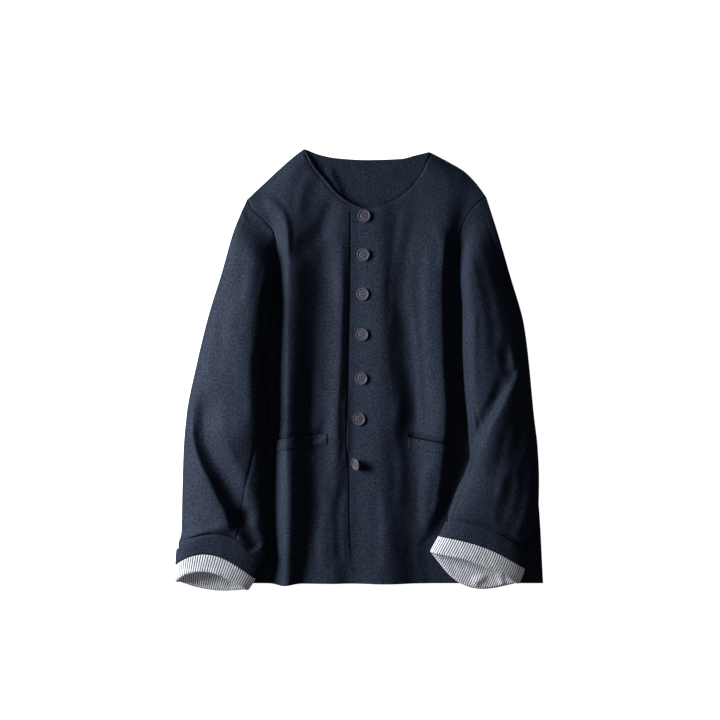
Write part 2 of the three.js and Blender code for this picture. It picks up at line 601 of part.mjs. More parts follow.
// A welt lies on its front: the columns of the front's own grid, moved out along the cloth's normal
function weltGeometry(grid, pocket) {
  const normals = surfaceNormals(grid, false);
  const slope = (pocket.topTo - pocket.topFrom) / (pocket.to - pocket.from);
  const onColumn = (c, share) => {
    const above = (p) => p.y + welt.depth * share - pocket.topFrom - slope * (p.x - pocket.from);
    const r = grid.findIndex((row, i) => above(row[c]) >= 0 && above(grid[i + 1][c]) < 0);
    const [a, b] = [grid[r][c], grid[r + 1][c]];
    const k = above(a) / (above(a) - above(b));
    const normal = normals[r][c].clone().lerp(normals[r + 1][c], k).normalize();
    return { point: a.clone().lerp(b, k), normal };
  };
  const layer = (offset) => [0, 0.5, 1].map((share) => {
    const places = grid[0].map((p, c) => onColumn(c, share));
    const lifted = places.map(({ point, normal }) => point.clone().addScaledVector(normal, offset));
    const inside = lifted.filter((p, c) => places[c].point.x > pocket.from && places[c].point.x < pocket.to);
    const first = places.findIndex(({ point }) => point.x > pocket.from);
    const last = first + inside.length;
    const ended = (a, b, x) => lifted[a].clone().lerp(lifted[b],
      (x - places[a].point.x) / (places[b].point.x - places[a].point.x));
    return [ended(first - 1, first, pocket.from), ...inside, ended(last - 1, last, pocket.to)];
  });
  return gridGeometry([layer(welt.lift + welt.thickness), layer(welt.lift)], false);
}

function solidOf(geometry) {
  geometry.deleteAttribute('normal');
  geometry.deleteAttribute('uv');
  const merged = mergeVertices(geometry, 1e-4);
  return new wasm.Manifold(new wasm.Mesh({
    numProp: 3,
    vertProperties: new Float32Array(merged.attributes.position.array),
    triVerts: new Uint32Array(merged.index.array),
  }));
}

// Raised rim, groove and dished middle with four holes
function buttonGeometry() {
  const r = buttonRadius;
  const h = buttonHeight;
  const profile = [[0, 0], [r * 0.82, 0], [r, h * 0.4], [r * 0.93, h * 0.9], [r * 0.8, h],
    [r * 0.66, h * 0.62], [r * 0.5, h * 0.66], [0, h * 0.6]];
  const turned = new THREE.LatheGeometry(profile.map(([x, y]) => new THREE.Vector2(x, y)), 18);
  turned.rotateX(Math.PI / 2);
  let solid = solidOf(turned);
  for (const [sx, sy] of [[1, 1], [-1, 1], [-1, -1], [1, -1]]) {
    const drill = new THREE.CylinderGeometry(buttonHole, buttonHole, h * 3, 6);
    drill.rotateX(Math.PI / 2);
    drill.translate(sx * holeSpread, sy * holeSpread, 0);
    solid = solid.subtract(solidOf(drill));
  }
  const mesh = solid.getMesh();
  const geometry = new THREE.BufferGeometry();
  geometry.setAttribute('position', new THREE.Float32BufferAttribute(mesh.vertProperties, 3));
  geometry.setIndex([...mesh.triVerts]);
  return geometry;
}

const jacket = new THREE.Group();

function addPiece(name, geometry, look) {
  geometry.computeVertexNormals();
  const mesh = new THREE.Mesh(geometry, new THREE.MeshStandardMaterial({ ...look, metalness: 0 }));
  mesh.name = name;
  jacket.add(mesh);
  return mesh;
}

// A button rests on the front: the plane of its back face is lifted until it clears the cloth
function placeButton(mesh, [x, y], extraTilt, turn) {
  const step = buttonRadius;
  const slopeX = (lapHeight(x + step, y) - lapHeight(x - step, y)) / (2 * step);
  const slopeY = (lapHeight(x, y + step) - lapHeight(x, y - step)) / (2 * step);
  const normal = new THREE.Vector3(-slopeX, -slopeY, 1).normalize();
  const flat = new THREE.Quaternion().setFromUnitVectors(new THREE.Vector3(0, 0, 1), normal);
  const swing = new THREE.Quaternion().setFromEuler(
    new THREE.Euler(0, THREE.MathUtils.degToRad(extraTilt), THREE.MathUtils.degToRad(turn), 'ZYX'));
  mesh.quaternion.copy(flat.multiply(swing));
  mesh.position.set(x, y, 0);
  mesh.updateMatrix();
  const points = mesh.geometry.attributes.position;
  let lift = -Infinity;
  const p = new THREE.Vector3();
  for (let i = 0; i < points.count; i += 1) {
    p.fromBufferAttribute(points, i).applyMatrix4(mesh.matrix);
    lift = Math.max(lift, lapHeight(p.x, p.y) - p.z);
  }
  mesh.position.z = lift + restGap;
}

const sleeves = [
  { name: 'right', side: -1, rows: sleeveRowsRight, creases: creasesRight, grid: gridRight },
  { name: 'left', side: 1, rows: sleeveRowsLeft, creases: creasesLeft, grid: gridLeft },
];

addPiece('back', backGeometry(), linen);
addPiece('front_right', clothWall(gridRight, cloth), linen);
addPiece('front_left', clothWall(gridLeft, cloth), linen);
sleeves.forEach((sleeve) => {
  sleeve.keys = sleeve.rows.map((row, i) => i);
  const [top, under] = sleevePieces(sleeve);
  addPiece(`sleeve_top_${sleeve.name}`, top, linen);
  addPiece(`sleeve_under_${sleeve.name}`, under, linen);
  addPiece(`cuff_band_${sleeve.name}`, cuffGeometry(sleeve, bandProfile), linen);
  addPiece(`cuff_lining_${sleeve.name}`, cuffGeometry(sleeve, liningProfile), lining);
});
addPiece('welt_right', weltGeometry(gridRight, pocketRight), linen);
addPiece('welt_left', weltGeometry(gridLeft, pocketLeft), linen);
const button = buttonGeometry();
buttonPlaces.forEach((place, i) => {
  const mesh = addPiece(`button_${i + 1}`, button.clone(), plastic);
  const loose = i === buttonPlaces.length - 1;
  placeButton(mesh, place, loose ? looseButton.tilt : 0, loose ? looseButton.turn : 0);
});

// The origin lies on the surface, under the middle of the jacket's box
const box = new THREE.Box3().setFromObject(jacket, true);
jacket.position.set(-(box.min.x + box.max.x) / 2, -(box.min.y + box.max.y) / 2, -box.min.z);

export default jacket;
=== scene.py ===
# Collarless linen jacket, buttoned and laid flat on its back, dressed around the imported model.
# The tables are in millimetres, as a cutter would write them; every mesh is made in metres.
import math

import bpy
import bmesh
import numpy as np
from mathutils import Matrix, Vector, noise


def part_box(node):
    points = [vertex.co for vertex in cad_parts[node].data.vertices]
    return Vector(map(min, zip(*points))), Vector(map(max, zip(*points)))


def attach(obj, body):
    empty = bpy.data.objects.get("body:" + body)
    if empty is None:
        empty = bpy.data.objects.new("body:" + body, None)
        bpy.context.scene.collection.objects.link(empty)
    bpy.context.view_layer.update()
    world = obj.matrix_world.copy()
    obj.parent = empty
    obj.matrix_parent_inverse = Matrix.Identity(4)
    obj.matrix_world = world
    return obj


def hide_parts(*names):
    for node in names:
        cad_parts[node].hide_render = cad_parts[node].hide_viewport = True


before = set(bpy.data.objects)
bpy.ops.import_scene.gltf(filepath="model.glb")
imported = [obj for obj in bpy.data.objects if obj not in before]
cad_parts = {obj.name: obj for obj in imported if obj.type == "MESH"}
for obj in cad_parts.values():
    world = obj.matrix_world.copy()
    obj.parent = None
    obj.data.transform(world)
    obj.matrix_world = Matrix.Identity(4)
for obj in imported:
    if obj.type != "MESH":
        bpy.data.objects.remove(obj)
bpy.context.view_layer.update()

mm = 0.001
cloth = 1.4
hemY = -314.5
restGap = 0.4

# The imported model's origin lies under the middle of its box, so the tables move with the back panel
tableShift = np.array([0.0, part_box("back")[0][1] / mm - hemY, 0.0])
pieces = {}

neckRight, neckLeft = (-81.4, 327.8), (102.9, 323.3)
shoulderTipRight, shoulderTipLeft = (-165, 253.8), (187, 256.8)
shoulderRight = [shoulderTipRight, (-141.3, 276), (-117.6, 298.2), (-94, 318.6), neckRight]
shoulderLeft = [neckLeft, (131, 308.5), (154.7, 294.4), (170, 279.5), shoulderTipLeft]
neckFrontRight = [neckRight, (-67.3, 301.1), (-51, 281.9), (-34.7, 262.7), (-15.5, 248.6), (3, 240), (22, 236)]
neckFrontLeft = [(-18, 241.5), (-11, 240.5), (8.2, 239), (23, 242.7), (40.8, 249.9), (54.1, 256.7),
                 (67.4, 266.5), (80.1, 280.4), (93.3, 300.1), neckLeft]
neckBack = [neckRight, (-58.4, 318.9), (-34.7, 314.2), (10, 311.5), (60, 313), (83.7, 318.6), neckLeft]

# Side outlines are y, x from the shoulder down
armholeEnd = {"right": (66, -172), "left": (70, 190)}
# Below this level the front's armhole runs beneath the sleeve
armholeTurn = 168
sideSeamRight = [armholeEnd["right"], (-60, -195), (hemY, -229)]
sideSeamLeft = [armholeEnd["left"], (-60, 229), (-187, 264), (hemY, 271.6)]
sideRight = [(254, -165), (239, -158.6), (228.6, -146.6), (214.3, -132.4), (205, -126.5), (185, -123),
             (150, -123.5), (120, -128), (98, -140), (80, -157)] + sideSeamRight
sideLeft = [(257, 187), (248, 175), (231.6, 160.6), (211, 151.5), (185, 147), (150, 146.5),
            (120, 151), (100, 164), (84, 178)] + sideSeamLeft
armholeBackRight = [(254, -165), (230, -167), (180, -169), (110, -171)] + sideSeamRight
armholeBackLeft = [(257, 187), (230, 188), (180, 189), (110, 190)] + sideSeamLeft
topEdge = [(241, -11), (163.5, -11.8), (30, -14.6), (-29, -15.5), (-100, -17.4), (-149, -13.5),
           (-232, -12.3), (hemY, -11.5)]

# Folds of the body from neck to hem: x and height of each trough and crest
foldPlaces = ["grooveR", "crestR", "dipR", "swellR", "edge", "swellC", "dipL", "crestL", "grooveL"]
foldNames = ["y"] + [name + part for name in foldPlaces for part in ("", "Z")]
foldRows = [
    (262, -150, 7, -106, 12, -56.8, 8.5, -27, 8.5, -11, 7.5, 35, 9, 76, 10, 129.8, 12, 165, 8),
    (215, -132, 8.5, -104, 17, -50, 8.5, -28, 9.5, -11, 8.5, 32, 12, 70, 10, 127, 16, 152, 8.5),
    (180, -123, 5, -103, 21, -52, 7.5, -27, 11, -12, 8.5, 34, 13, 60, 10, 122, 20, 146, 5),
    (120, -125, 3.6, -103, 24, -56, 7, -26, 13, -13, 8.5, 35, 15, 57, 10.5, 119, 22, 142, 3.6),
    (20, -127, 3.4, -104, 25, -62, 7, -29, 13, -15, 8, 40, 15.5, 66, 9.5, 121, 23, 144, 3.4),
    (-60, -128, 3.4, -105, 25, -70, 6.5, -33, 14, -16, 8, 48, 16, 79, 8, 125, 23, 148, 3.4),
    (-120, -131, 3.3, -106, 24, -66, 7, -34, 12.5, -17, 8, 37, 15, 78, 8.5, 121, 21, 145, 3.3),
    (-195, -132, 3.3, -104, 23, -64, 7, -38, 11, -12.5, 8, 40, 15, 84, 8, 112, 13, 131, 3.3),
    (-235, -132, 3.3, -104, 22, -70, 7.5, -40, 11.5, -12, 8, 42, 15.5, 82, 7.5, 98, 8, 113, 3.3),
    (-262, -132, 3.3, -105, 21, -76, 8, -41, 12, -12, 8, 44, 16, 78, 6, 86, 5, 99, 3.3),
    (hemY, -132, 3.3, -106, 20, -84, 8, -42, 12.5, -12, 8, 46, 17, 84, 6, 94, 5, 106, 3.3),
]

# Sleeves from the armhole to the fold of the cuff, as a flattened tube with an outer and an inner edge
sleeveNames = ["outerX", "outerY", "innerX", "innerY", "crown", "peak", "edge", "setback", "bulge", "seam"]
sleeveRowsRight = [
    (-165.5, 254, -123.5, 168, 9, 0.5, 4, 0, 0, 0.05),
    (-184, 211, -126, 128, 27, 0.5, 5, 0, 0, 0.05),
    (-204.9, 140, -129.4, 92, 34, 0.5, 5, 0, 0, 0.05),
    (-223, 81, -132, 56, 36, 0.52, 5, 0, 0, 0.05),
    (-240.4, 10, -141, 8, 36, 0.58, 5, 0, 0, 0.05),
    (-255, -62, -134.5, -62, 35, 0.58, 5, 0, 0, 0.08),
    (-260, -120, -138, -115, 34, 0.58, 5, 2, 0, 0.13),
    (-262, -190, -138, -180, 33, 0.56, 5, 8, 2, 0.24),
    (-263, -238, -136, -236, 34, 0.52, 6, 18, 4, 0.3),
    (-269.5, -263, -135.5, -266, 38, 0.45, 14, 24, 5, 0.32),
    (-271, -287, -152.5, -306, 36, 0.42, 14, 26, 6, 0.33),
    (-271.6, -311, -163, -323, 35, 0.42, 14, 21, 7, 0.33),
]
sleeveRowsLeft = [
    (187.5, 257, 146.5, 168, 9, 0.5, 4, 0, 0, 0.05),
    (202, 211, 149, 128, 26, 0.6, 5, 0, 0, 0.05),
    (222.8, 140, 151.5, 90, 33, 0.64, 5, 0, 0, 0.05),
    (243, 68, 151.5, 40, 34, 0.64, 5, 0, 0, 0.05),
    (250.5, 10, 154, -18, 34, 0.62, 5, 0, 0, 0.05),
    (257, -62, 159.5, -80, 34, 0.58, 5, 0, 0, 0.06),
    (263, -115, 162, -124, 36, 0.56, 5, 0, 0, 0.06),
    (265, -160, 155, -150, 37, 0.55, 5, 0, 0, 0.06),
    (264.5, -195, 143, -176, 37, 0.54, 5, 3, 2, 0.06),
    (259, -226, 134, -200, 36, 0.52, 6, 8, 6, 0.06),
    (243.5, -265, 126.5, -221, 38, 0.5, 14, 12, 10, 0.06),
    (242.7, -291, 116, -243, 38, 0.5, 14, 9, 20, 0.06),
    (234.6, -314, 103, -267, 36, 0.5, 14, 8, 30, 0.06),
]


def blend(a, b, k):
    return a + (b - a) * k


def smoothStep(low, high, value):
    k = np.clip((value - low) / (high - low), 0, 1)
    return k * k * (3 - 2 * k)


# Smooth curve through the knots that never overshoots them. Knots may differ for each point.
def curveThrough(xs, ys, x):
    x = np.asarray(x, float)
    flat = x.reshape(-1)
    xs = np.broadcast_to(np.asarray(xs, float), (flat.size, np.shape(xs)[-1]))
    ys = np.broadcast_to(np.asarray(ys, float), (flat.size, np.shape(ys)[-1]))
    slope = np.diff(ys, axis=1) / np.diff(xs, axis=1)
    before, after = slope[:, :-1], slope[:, 1:]
    product = before * after
    total = np.where(product > 0, before + after, 1)
    middle = np.where(product > 0, 2 * product / total, 0)
    tangent = np.concatenate([slope[:, :1], middle, slope[:, -1:]], axis=1)
    i = np.clip((flat[:, None] >= xs).sum(axis=1) - 1, 0, xs.shape[1] - 2)
    rows = np.arange(flat.size)
    h = xs[rows, i + 1] - xs[rows, i]
    t = np.clip((flat - xs[rows, i]) / h, 0, 1)
    t2, t3 = t * t, t * t * t
    ends = ys[rows, i] * (2 * t3 - 3 * t2 + 1) + ys[rows, i + 1] * (3 * t2 - 2 * t3)
    bends = tangent[rows, i] * h * (t3 - 2 * t2 + t) + tangent[rows, i + 1] * h * (t3 - t2)
    return (ends + bends).reshape(x.shape)


def along(points, key):
    return curveThrough([p[0] for p in points], [p[1] for p in points], key)


def down(points, y):
    return curveThrough([-p[0] for p in points], [p[1] for p in points], -np.asarray(y, float))


def tableRow(names, rows, keys, key):
    return {name: curveThrough(keys, [row[c] for row in rows], key) for c, name in enumerate(names)}


def foldsAt(y):
    return tableRow(foldNames, foldRows, [-row[0] for row in foldRows], -np.asarray(y, float))


sideHeight = cloth + restGap + cloth
sideStrip = 9
armholeLevels = (150, 185)
fulness = {"depth": 15, "power": 1.3, "neckLevel": 326}
shoulderLift = {"height": 5, "width": 26}


# Top of the cloth body above the surface, both fronts taken as one
def bodyHeight(x, y):
    x, y = np.broadcast_arrays(np.asarray(x, float), np.asarray(y, float))
    f = foldsAt(y)
    atArmhole = smoothStep(*armholeLevels, y)
    sides = [blend(sideHeight, f[name], atArmhole) for name in ("grooveRZ", "grooveLZ")]
    xs = np.stack([f["grooveR"] - sideStrip, *(f[name] for name in foldPlaces), f["grooveL"] + sideStrip], axis=-1)
    zs = np.stack([sides[0], *(f[name + "Z"] for name in foldPlaces), sides[1]], axis=-1)
    knots = xs.shape[-1]
    height = curveThrough(xs.reshape(-1, knots), zs.reshape(-1, knots), x.reshape(-1)).reshape(x.shape)
    right = x < 0
    neckAt = np.where(right, -neckRight[0], neckLeft[0])
    tipAt = np.where(right, -shoulderTipRight[0], shoulderTipLeft[0])
    seam = np.where(right, along(shoulderRight, x), along(shoulderLeft, x))
    drop = np.where(np.abs(x) >= neckAt, seam, fulness["neckLevel"]) - y
    lifted = smoothStep(tipAt - shoulderLift["width"], tipAt, np.abs(x))
    edgeHeight = blend(sideHeight, shoulderLift["height"], lifted)
    full = 1 - np.exp(-(np.maximum(drop, 0) / fulness["depth"]) ** fulness["power"])
    return blend(np.minimum(edgeHeight, height), height, full)


# Height of what a sleeve lies on: the body, falling to the surface beyond the side seams
def ground(x, y):
    fall = {"margin": 18, "spread": 14, "above": 25, "reach": 3}
    x, y = np.broadcast_arrays(np.asarray(x, float), np.asarray(y, float))
    left = x > 0

    def inside(lineRight, lineLeft):
        levels = [np.where(left, down(lineLeft, y + dy) - x, x - down(lineRight, y + dy))
                  for dy in (-fall["above"], 0)]
        return np.maximum(*levels)

    near = -fall["margin"]
    far = near - fall["spread"]
    overFront = smoothStep(far, near, inside(sideRight, sideLeft))
    overBack = smoothStep(far, near, inside(armholeBackRight, armholeBackLeft))
    top = np.max([bodyHeight(x + dx, y) for dx in (0, -fall["reach"], fall["reach"])], axis=0)
    return np.maximum((top + restGap) * overFront, (cloth + restGap) * overBack)


# A fold has a height (below 0 for a trough), the width of each flank, left and right of the way that its path
# runs, and the path. A crisp flank ends in an edge, a pointed fold has one along its middle.
def foldAlong(height, left, right, *path, **shape):
    return {"path": path, "height": height, "left": left, "right": right, **shape}


def foldHeight(folds, x, y):
    x, y = np.broadcast_arrays(np.asarray(x, float), np.asarray(y, float))
    total = np.zeros(x.shape)
    for fold in folds:
        path = np.array(fold["path"], float)
        steps = np.linspace(0, len(path) - 1, 6 * len(path))
        path = np.stack([curveThrough(range(len(path)), path[:, k], steps) for k in (0, 1)], axis=-1)
        lengths = np.hypot(*np.diff(path, axis=0).T)
        starts = np.concatenate([[0], np.cumsum(lengths)])
        best = np.full(x.shape, np.inf)
        at = np.zeros(x.shape)
        onLeft = np.zeros(x.shape, bool)
        for a, b, length, start in zip(path[:-1], path[1:], lengths, starts):
            way = (b - a) / length
            t = np.clip((x - a[0]) * way[0] + (y - a[1]) * way[1], 0, length)
            dx, dy = x - a[0] - way[0] * t, y - a[1] - way[1] * t
            distance = np.hypot(dx, dy)
            nearer = distance < best
            best = np.where(nearer, distance, best)
            at = np.where(nearer, (start + t) / starts[-1], at)
            onLeft = np.where(nearer, way[0] * dy - way[1] * dx > 0, onLeft)
        reach = np.clip(best / np.where(onLeft, fold["left"], fold["right"]), 0, 1)
        profile = 0.5 + 0.5 * np.cos(np.pi * reach)
        profile = blend(profile, np.cos(0.5 * np.pi * reach), np.where(onLeft, *fold.get("crisp", (0, 0))))
        profile = blend(profile, (1 - reach) ** 2, fold.get("pointed", 0))
        head, tail = fold.get("ends", (0.22, 0.22))
        total += fold["height"] * profile * smoothStep(0, head, at) * smoothStep(0, tail, 1 - at)
    return total


# Gentle unevenness of pressed linen, a little longer along the grain
def unevenness(x, y, size, seed, stretch=1.6):
    flat = [noise.noise((a / size, b / (size * stretch), seed)) for a, b in zip(np.ravel(x), np.ravel(y))]
    return np.reshape(flat, np.shape(x))


def deselectAll():
    bpy.ops.object.select_all(action="DESELECT")


def makeActive(piece):
    deselectAll()
    piece.select_set(True)
    bpy.context.view_layer.objects.active = piece


def applyModifiers(piece):
    makeActive(piece)
    for modifier in list(piece.modifiers):
        bpy.ops.object.modifier_apply(modifier=modifier.name)


def addMesh(name, vertices, faces):
    mesh = bpy.data.meshes.new(name)
    mesh.from_pydata(vertices, [], faces)
    piece = bpy.data.objects.new(name, mesh)
    bpy.context.scene.collection.objects.link(piece)
    return piece


def smoothed(piece, degrees, material):
    makeActive(piece)
    bpy.ops.object.shade_smooth_by_angle(angle=math.radians(degrees))
    piece.data.materials.clear()
    piece.data.materials.append(material)
    return piece


def editWhole(piece, operation, *settings):
    makeActive(piece)
    bpy.ops.object.mode_set(mode="EDIT")
    for options in settings:
        bpy.ops.mesh.select_all(action="SELECT")
        operation(**options)
    bpy.ops.object.mode_set(mode="OBJECT")


def joined(parts):
    makeActive(parts[0])
    for part in parts:
        part.select_set(True)
    bpy.ops.object.join()
    return bpy.context.object


def addWall(piece, thickness):
    wall = piece.modifiers.new("wall", "SOLIDIFY")
    wall.thickness, wall.offset = thickness * mm, -1
    applyModifiers(piece)


# A sheet from a grid of points in millimetres, turned to face up or outwards, with its own cloth map
def addSheet(name, points, across, length, closed=False, flip=False, thickness=cloth, material=None):
    rows, columns = points.shape[:2]
    index = np.arange(rows * columns).reshape(rows, columns)
    right = np.roll(index, -1, axis=1) if closed else index[:, 1:]
    left = index if closed else index[:, :-1]
    quads = np.stack([left[:-1], left[1:], right[1:], right[:-1]], axis=-1).reshape(-1, 4)
    if flip:
        quads = quads[:, ::-1]
    piece = addMesh(name, ((points + tableShift).reshape(-1, 3) * mm).tolist(), quads.tolist())
    mesh = piece.data
    clothMap = mesh.uv_layers.new(name="cloth")
    corner = np.zeros(len(mesh.loops), int)
    mesh.loops.foreach_get("vertex_index", corner)
    uv = np.stack([across.reshape(-1)[corner], length.reshape(-1)[corner]], axis=-1) * mm
    clothMap.data.foreach_set("uv", uv.reshape(-1))
    if thickness:
        addWall(piece, thickness)
    return smoothed(piece, 50, material)


def walked(points, axis):
    steps = np.linalg.norm(np.diff(points, axis=axis), axis=-1)
    zero = np.zeros_like(np.take(steps, [0], axis=axis))
    return np.concatenate([zero, np.cumsum(steps, axis=axis)], axis=axis)


def columnPlaces(stops, counts):
    places = [stops[0]]
    for s, count in enumerate(counts):
        places += [blend(stops[s], stops[s + 1], k / count) for k in range(1, count + 1)]
    return np.stack(places, axis=-1)


# Columns of the mesh stay this far apart, and the right front runs on this far beneath the left one
minStep = 8
underlap = 33


def rightStops(y):
    f = foldsAt(y)
    side = down(sideRight, y)
    groove = np.maximum(f["grooveR"], side + minStep)
    crest = np.maximum(f["crestR"], groove + minStep)
    edge = down(topEdge, y)
    return [side, groove, crest, f["dipR"], f["swellR"], edge, edge + underlap]


def leftStops(y):
    f = foldsAt(y)
    side = down(sideLeft, y)
    groove = np.minimum(f["grooveL"], side - minStep)
    crest = np.minimum(f["crestL"], groove - minStep)
    return [down(topEdge, y), f["swellC"], f["dipL"], crest, groove, side]


def rowShares(sideLine, side, counts):
    levels = [sideLine[0][0], armholeTurn, armholeEnd[side][0], hemY]
    rows = [np.linspace(levels[i], levels[i + 1], n + 1)[:-1] for i, n in enumerate(counts)]
    return (levels[0] - np.concatenate(rows + [[hemY]])) / (levels[0] - hemY)


def topRight(x):
    return np.where(x < neckRight[0], along(shoulderRight, x), along(neckFrontRight, x))


def topLeft(x):
    return np.where(x > neckLeft[0], along(shoulderLeft, x), along(neckFrontLeft, x))


hemCorner = {"across": 32, "up": 46}


# The square corner at the hem is drawn into a quarter of an ellipse
def roundCorner(x, y):
    across, up = hemCorner["across"], hemCorner["up"]
    centreX, centreY = down(topEdge, [hemY])[0] + across, hemY + up
    a = np.maximum((centreX - x) / across, 0)
    b = np.maximum((centreY - y) / up, 0)
    inCorner = (a > 0) & (b > 0)
    return (np.where(inCorner, centreX - across * a * np.sqrt(1 - b * b / 2), x),
            np.where(inCorner, centreY - up * b * np.sqrt(1 - a * a / 2), y))


def frontPlan(stopsAt, counts, topAt, shares):
    topPlaces = columnPlaces(stopsAt(np.array([foldRows[0][0]])), counts)[0]
    level = blend(topAt(topPlaces)[None, :], hemY, shares[:, None])
    rows, columns = level.shape
    places = columnPlaces(stopsAt(level.reshape(-1)), counts).reshape(rows, columns, columns)
    return np.take_along_axis(places, np.arange(columns)[None, :, None].repeat(rows, 0), axis=2)[..., 0], level


# Shader maths reads as plain expressions: a wrapped socket adds its own Math nodes
class Value:
    def __init__(self, maker, socket):
        self.maker, self.socket = maker, socket

    def maths(self, operation, first, second=0.0):
        return self.maker.add("ShaderNodeMath", {"operation": operation}, {0: first, 1: second})

    def __add__(self, other):
        return self.maths("ADD", self, other)

    def __sub__(self, other):
        return self.maths("SUBTRACT", self, other)

    def __rsub__(self, other):
        return self.maths("SUBTRACT", other, self)

    def __mul__(self, other):
        return self.maths("MULTIPLY", self, other)

    __radd__ = __add__
    __rmul__ = __mul__

    def sine(self):
        return self.maths("SINE", self)

    def beside(self, output):
        return Value(self.maker, self.socket.node.outputs[output])


class Finish:
    def __init__(self, name):
        self.material = bpy.data.materials.new(name)
        self.material.use_nodes = True
        self.tree = self.material.node_tree
        self.tree.nodes.clear()

    # Every node comes from here: its settings first, then the values or links of its sockets
    def add(self, kind, settings=None, sockets=None, output=0):
        node = self.tree.nodes.new(kind)
        for key, value in (settings or {}).items():
            setattr(node, key, value)
        for key, value in (sockets or {}).items():
            if isinstance(value, Value):
                self.tree.links.new(value.socket, node.inputs[key])
            else:
                node.inputs[key].default_value = value
        return Value(self, node.outputs[output]) if node.outputs else None

    def noise(self, place, scale, detail=2.0, roughness=0.5):
        return self.add("ShaderNodeTexNoise", {}, {"Vector": place, "Scale": scale, "Detail": detail,
                                                   "Roughness": roughness})

    def stretched(self, place, scale):
        return self.add("ShaderNodeMapping", {}, {"Vector": place, "Scale": scale})

    def mixColour(self, factor, a, b):
        return self.add("ShaderNodeMix", {"data_type": "RGBA"}, {0: factor, 6: a, 7: b}, 2)

    def clamped(self, value):
        return self.add("ShaderNodeClamp", {}, {0: value})

    def bump(self, strength, distance, height):
        return self.add("ShaderNodeBump", {}, {"Strength": strength, "Distance": distance * mm, "Height": height})

    def finish(self, surface):
        shader = self.add("ShaderNodeBsdfPrincipled", {}, surface)
        self.add("ShaderNodeOutputMaterial", {}, {"Surface": shader})
        return self.material


print("finishes")
linen = {
    "dark": (0.0032, 0.0056, 0.0118, 1), "light": (0.02, 0.0368, 0.063, 1), "other": (0.0265, 0.0345, 0.067, 1),
    "slubWidth": 1.9, "slubLength": 17, "speckle": 3.2, "cloud": 55, "hue": 7, "thread": 1.15, "relief": 0.75,
    "tone": {"warp": 0.7, "weft": 0.6, "speckle": 2.2, "cloudy": 0.3, "less": 1.4},
    "height": {"warp": 0.5, "weft": 0.5, "threads": 0.12, "speckle": 0.35},
}


def navyLinen(name, tint=1.0):
    f = Finish(name)
    place = f.add("ShaderNodeUVMap", {"uv_map": "cloth"})
    across, length = 1 / (linen["slubWidth"] * mm), 1 / (linen["slubLength"] * mm)
    warp = f.noise(f.stretched(place, (across, length, 1)), 1.0, 2.0)
    weft = f.noise(f.stretched(place, (length * 1.3, across * 0.9, 1)), 1.0, 2.0)
    speckle = f.noise(place, 1 / (linen["speckle"] * mm), 2.0, 0.7)
    cloudy = f.noise(place, 1 / (linen["cloud"] * mm), 2.0)
    hue = f.noise(place, 1 / (linen["hue"] * mm), 2.0)
    split = f.add("ShaderNodeSeparateXYZ", {}, {0: place})
    turns = 2 * math.pi / (linen["thread"] * mm)
    threads = (split * turns).sine() * (split.beside(1) * turns).sine()
    mix = linen["tone"]
    tone = warp * mix["warp"] + weft * mix["weft"] + speckle * mix["speckle"] + cloudy * mix["cloudy"] - mix["less"]
    dark, light, other = (tuple(c * tint for c in linen[key][:3]) + (1,) for key in ("dark", "light", "other"))
    light = f.mixColour(f.clamped(hue * 3 - 1), light, other)
    colour = f.mixColour(f.clamped(tone), dark, light)
    rise = linen["height"]
    height = warp * rise["warp"] + weft * rise["weft"] + threads * rise["threads"] + speckle * rise["speckle"]
    bump = f.bump(linen["relief"], 0.6, height)
    return f.finish({"Base Color": colour, "Roughness": 0.74 - tone * 0.1, "Normal": bump,
                     "Specular IOR Level": 0.14, "Sheen Weight": 0.02, "Sheen Roughness": 0.45,
                     "Sheen Tint": (0.6, 0.72, 1, 1)})


lining = {
    "pitch": 3.6, "navyShare": 0.45, "softEdge": 0.2, "wander": 0.7, "weave": 0.9, "paintedGlow": 0.1,
    "white": (0.80, 0.81, 0.84, 1), "grey": (0.62, 0.65, 0.72, 1), "navy": (0.01, 0.015, 0.06, 1),
}


def stripedCotton(name):
    f = Finish(name)
    place = f.add("ShaderNodeUVMap", {"uv_map": "cloth"})
    wander = f.noise(f.stretched(place, (220, 60, 1)), 1.0, 1.0) - 0.5
    split = f.add("ShaderNodeSeparateXYZ", {}, {0: place})
    wave = ((split + wander * (lining["wander"] * mm)) * (2 * math.pi / (lining["pitch"] * mm))).sine()
    edge = math.cos(math.pi * lining["navyShare"])
    navy = f.add("ShaderNodeMapRange", {"interpolation_type": "SMOOTHSTEP"},
                 {0: wave, 1: edge - lining["softEdge"], 2: edge + lining["softEdge"]})
    weave = f.noise(place, 1 / (lining["weave"] * mm), 2.0)
    shade = f.mixColour(weave * 0.25, lining["white"], lining["grey"])
    colour = f.mixColour(navy * (0.82 + weave * 0.25), shade, lining["navy"])
    bump = f.bump(0.25, 0.3, weave)
    # The lining glows faintly in its own colour: painted light that lifts its shaded parts inside the cuff mouths
    return f.finish({"Base Color": colour, "Roughness": 0.78 + weave * 0.12, "Normal": bump,
                     "Specular IOR Level": 0.2, "Emission Color": colour, "Emission Strength": lining["paintedGlow"]})


mottle = {"streaks": (160, 420, 160), "dark": (0.026, 0.027, 0.042, 1), "light": (0.095, 0.092, 0.128, 1)}


def mottledPlastic(name):
    f = Finish(name)
    place = f.add("ShaderNodeTexCoord", {}, {}, "Object")
    streak = f.noise(f.stretched(place, mottle["streaks"]), 1.0, 3.0)
    colour = f.mixColour(streak, mottle["dark"], mottle["light"])
    fine = f.noise(place, 2600, 2.0)
    bump = f.bump(0.12, 0.1, fine)
    return f.finish({"Base Color": colour, "Roughness": 0.34 + streak * 0.18, "Normal": bump,
                     "Specular IOR Level": 0.5})


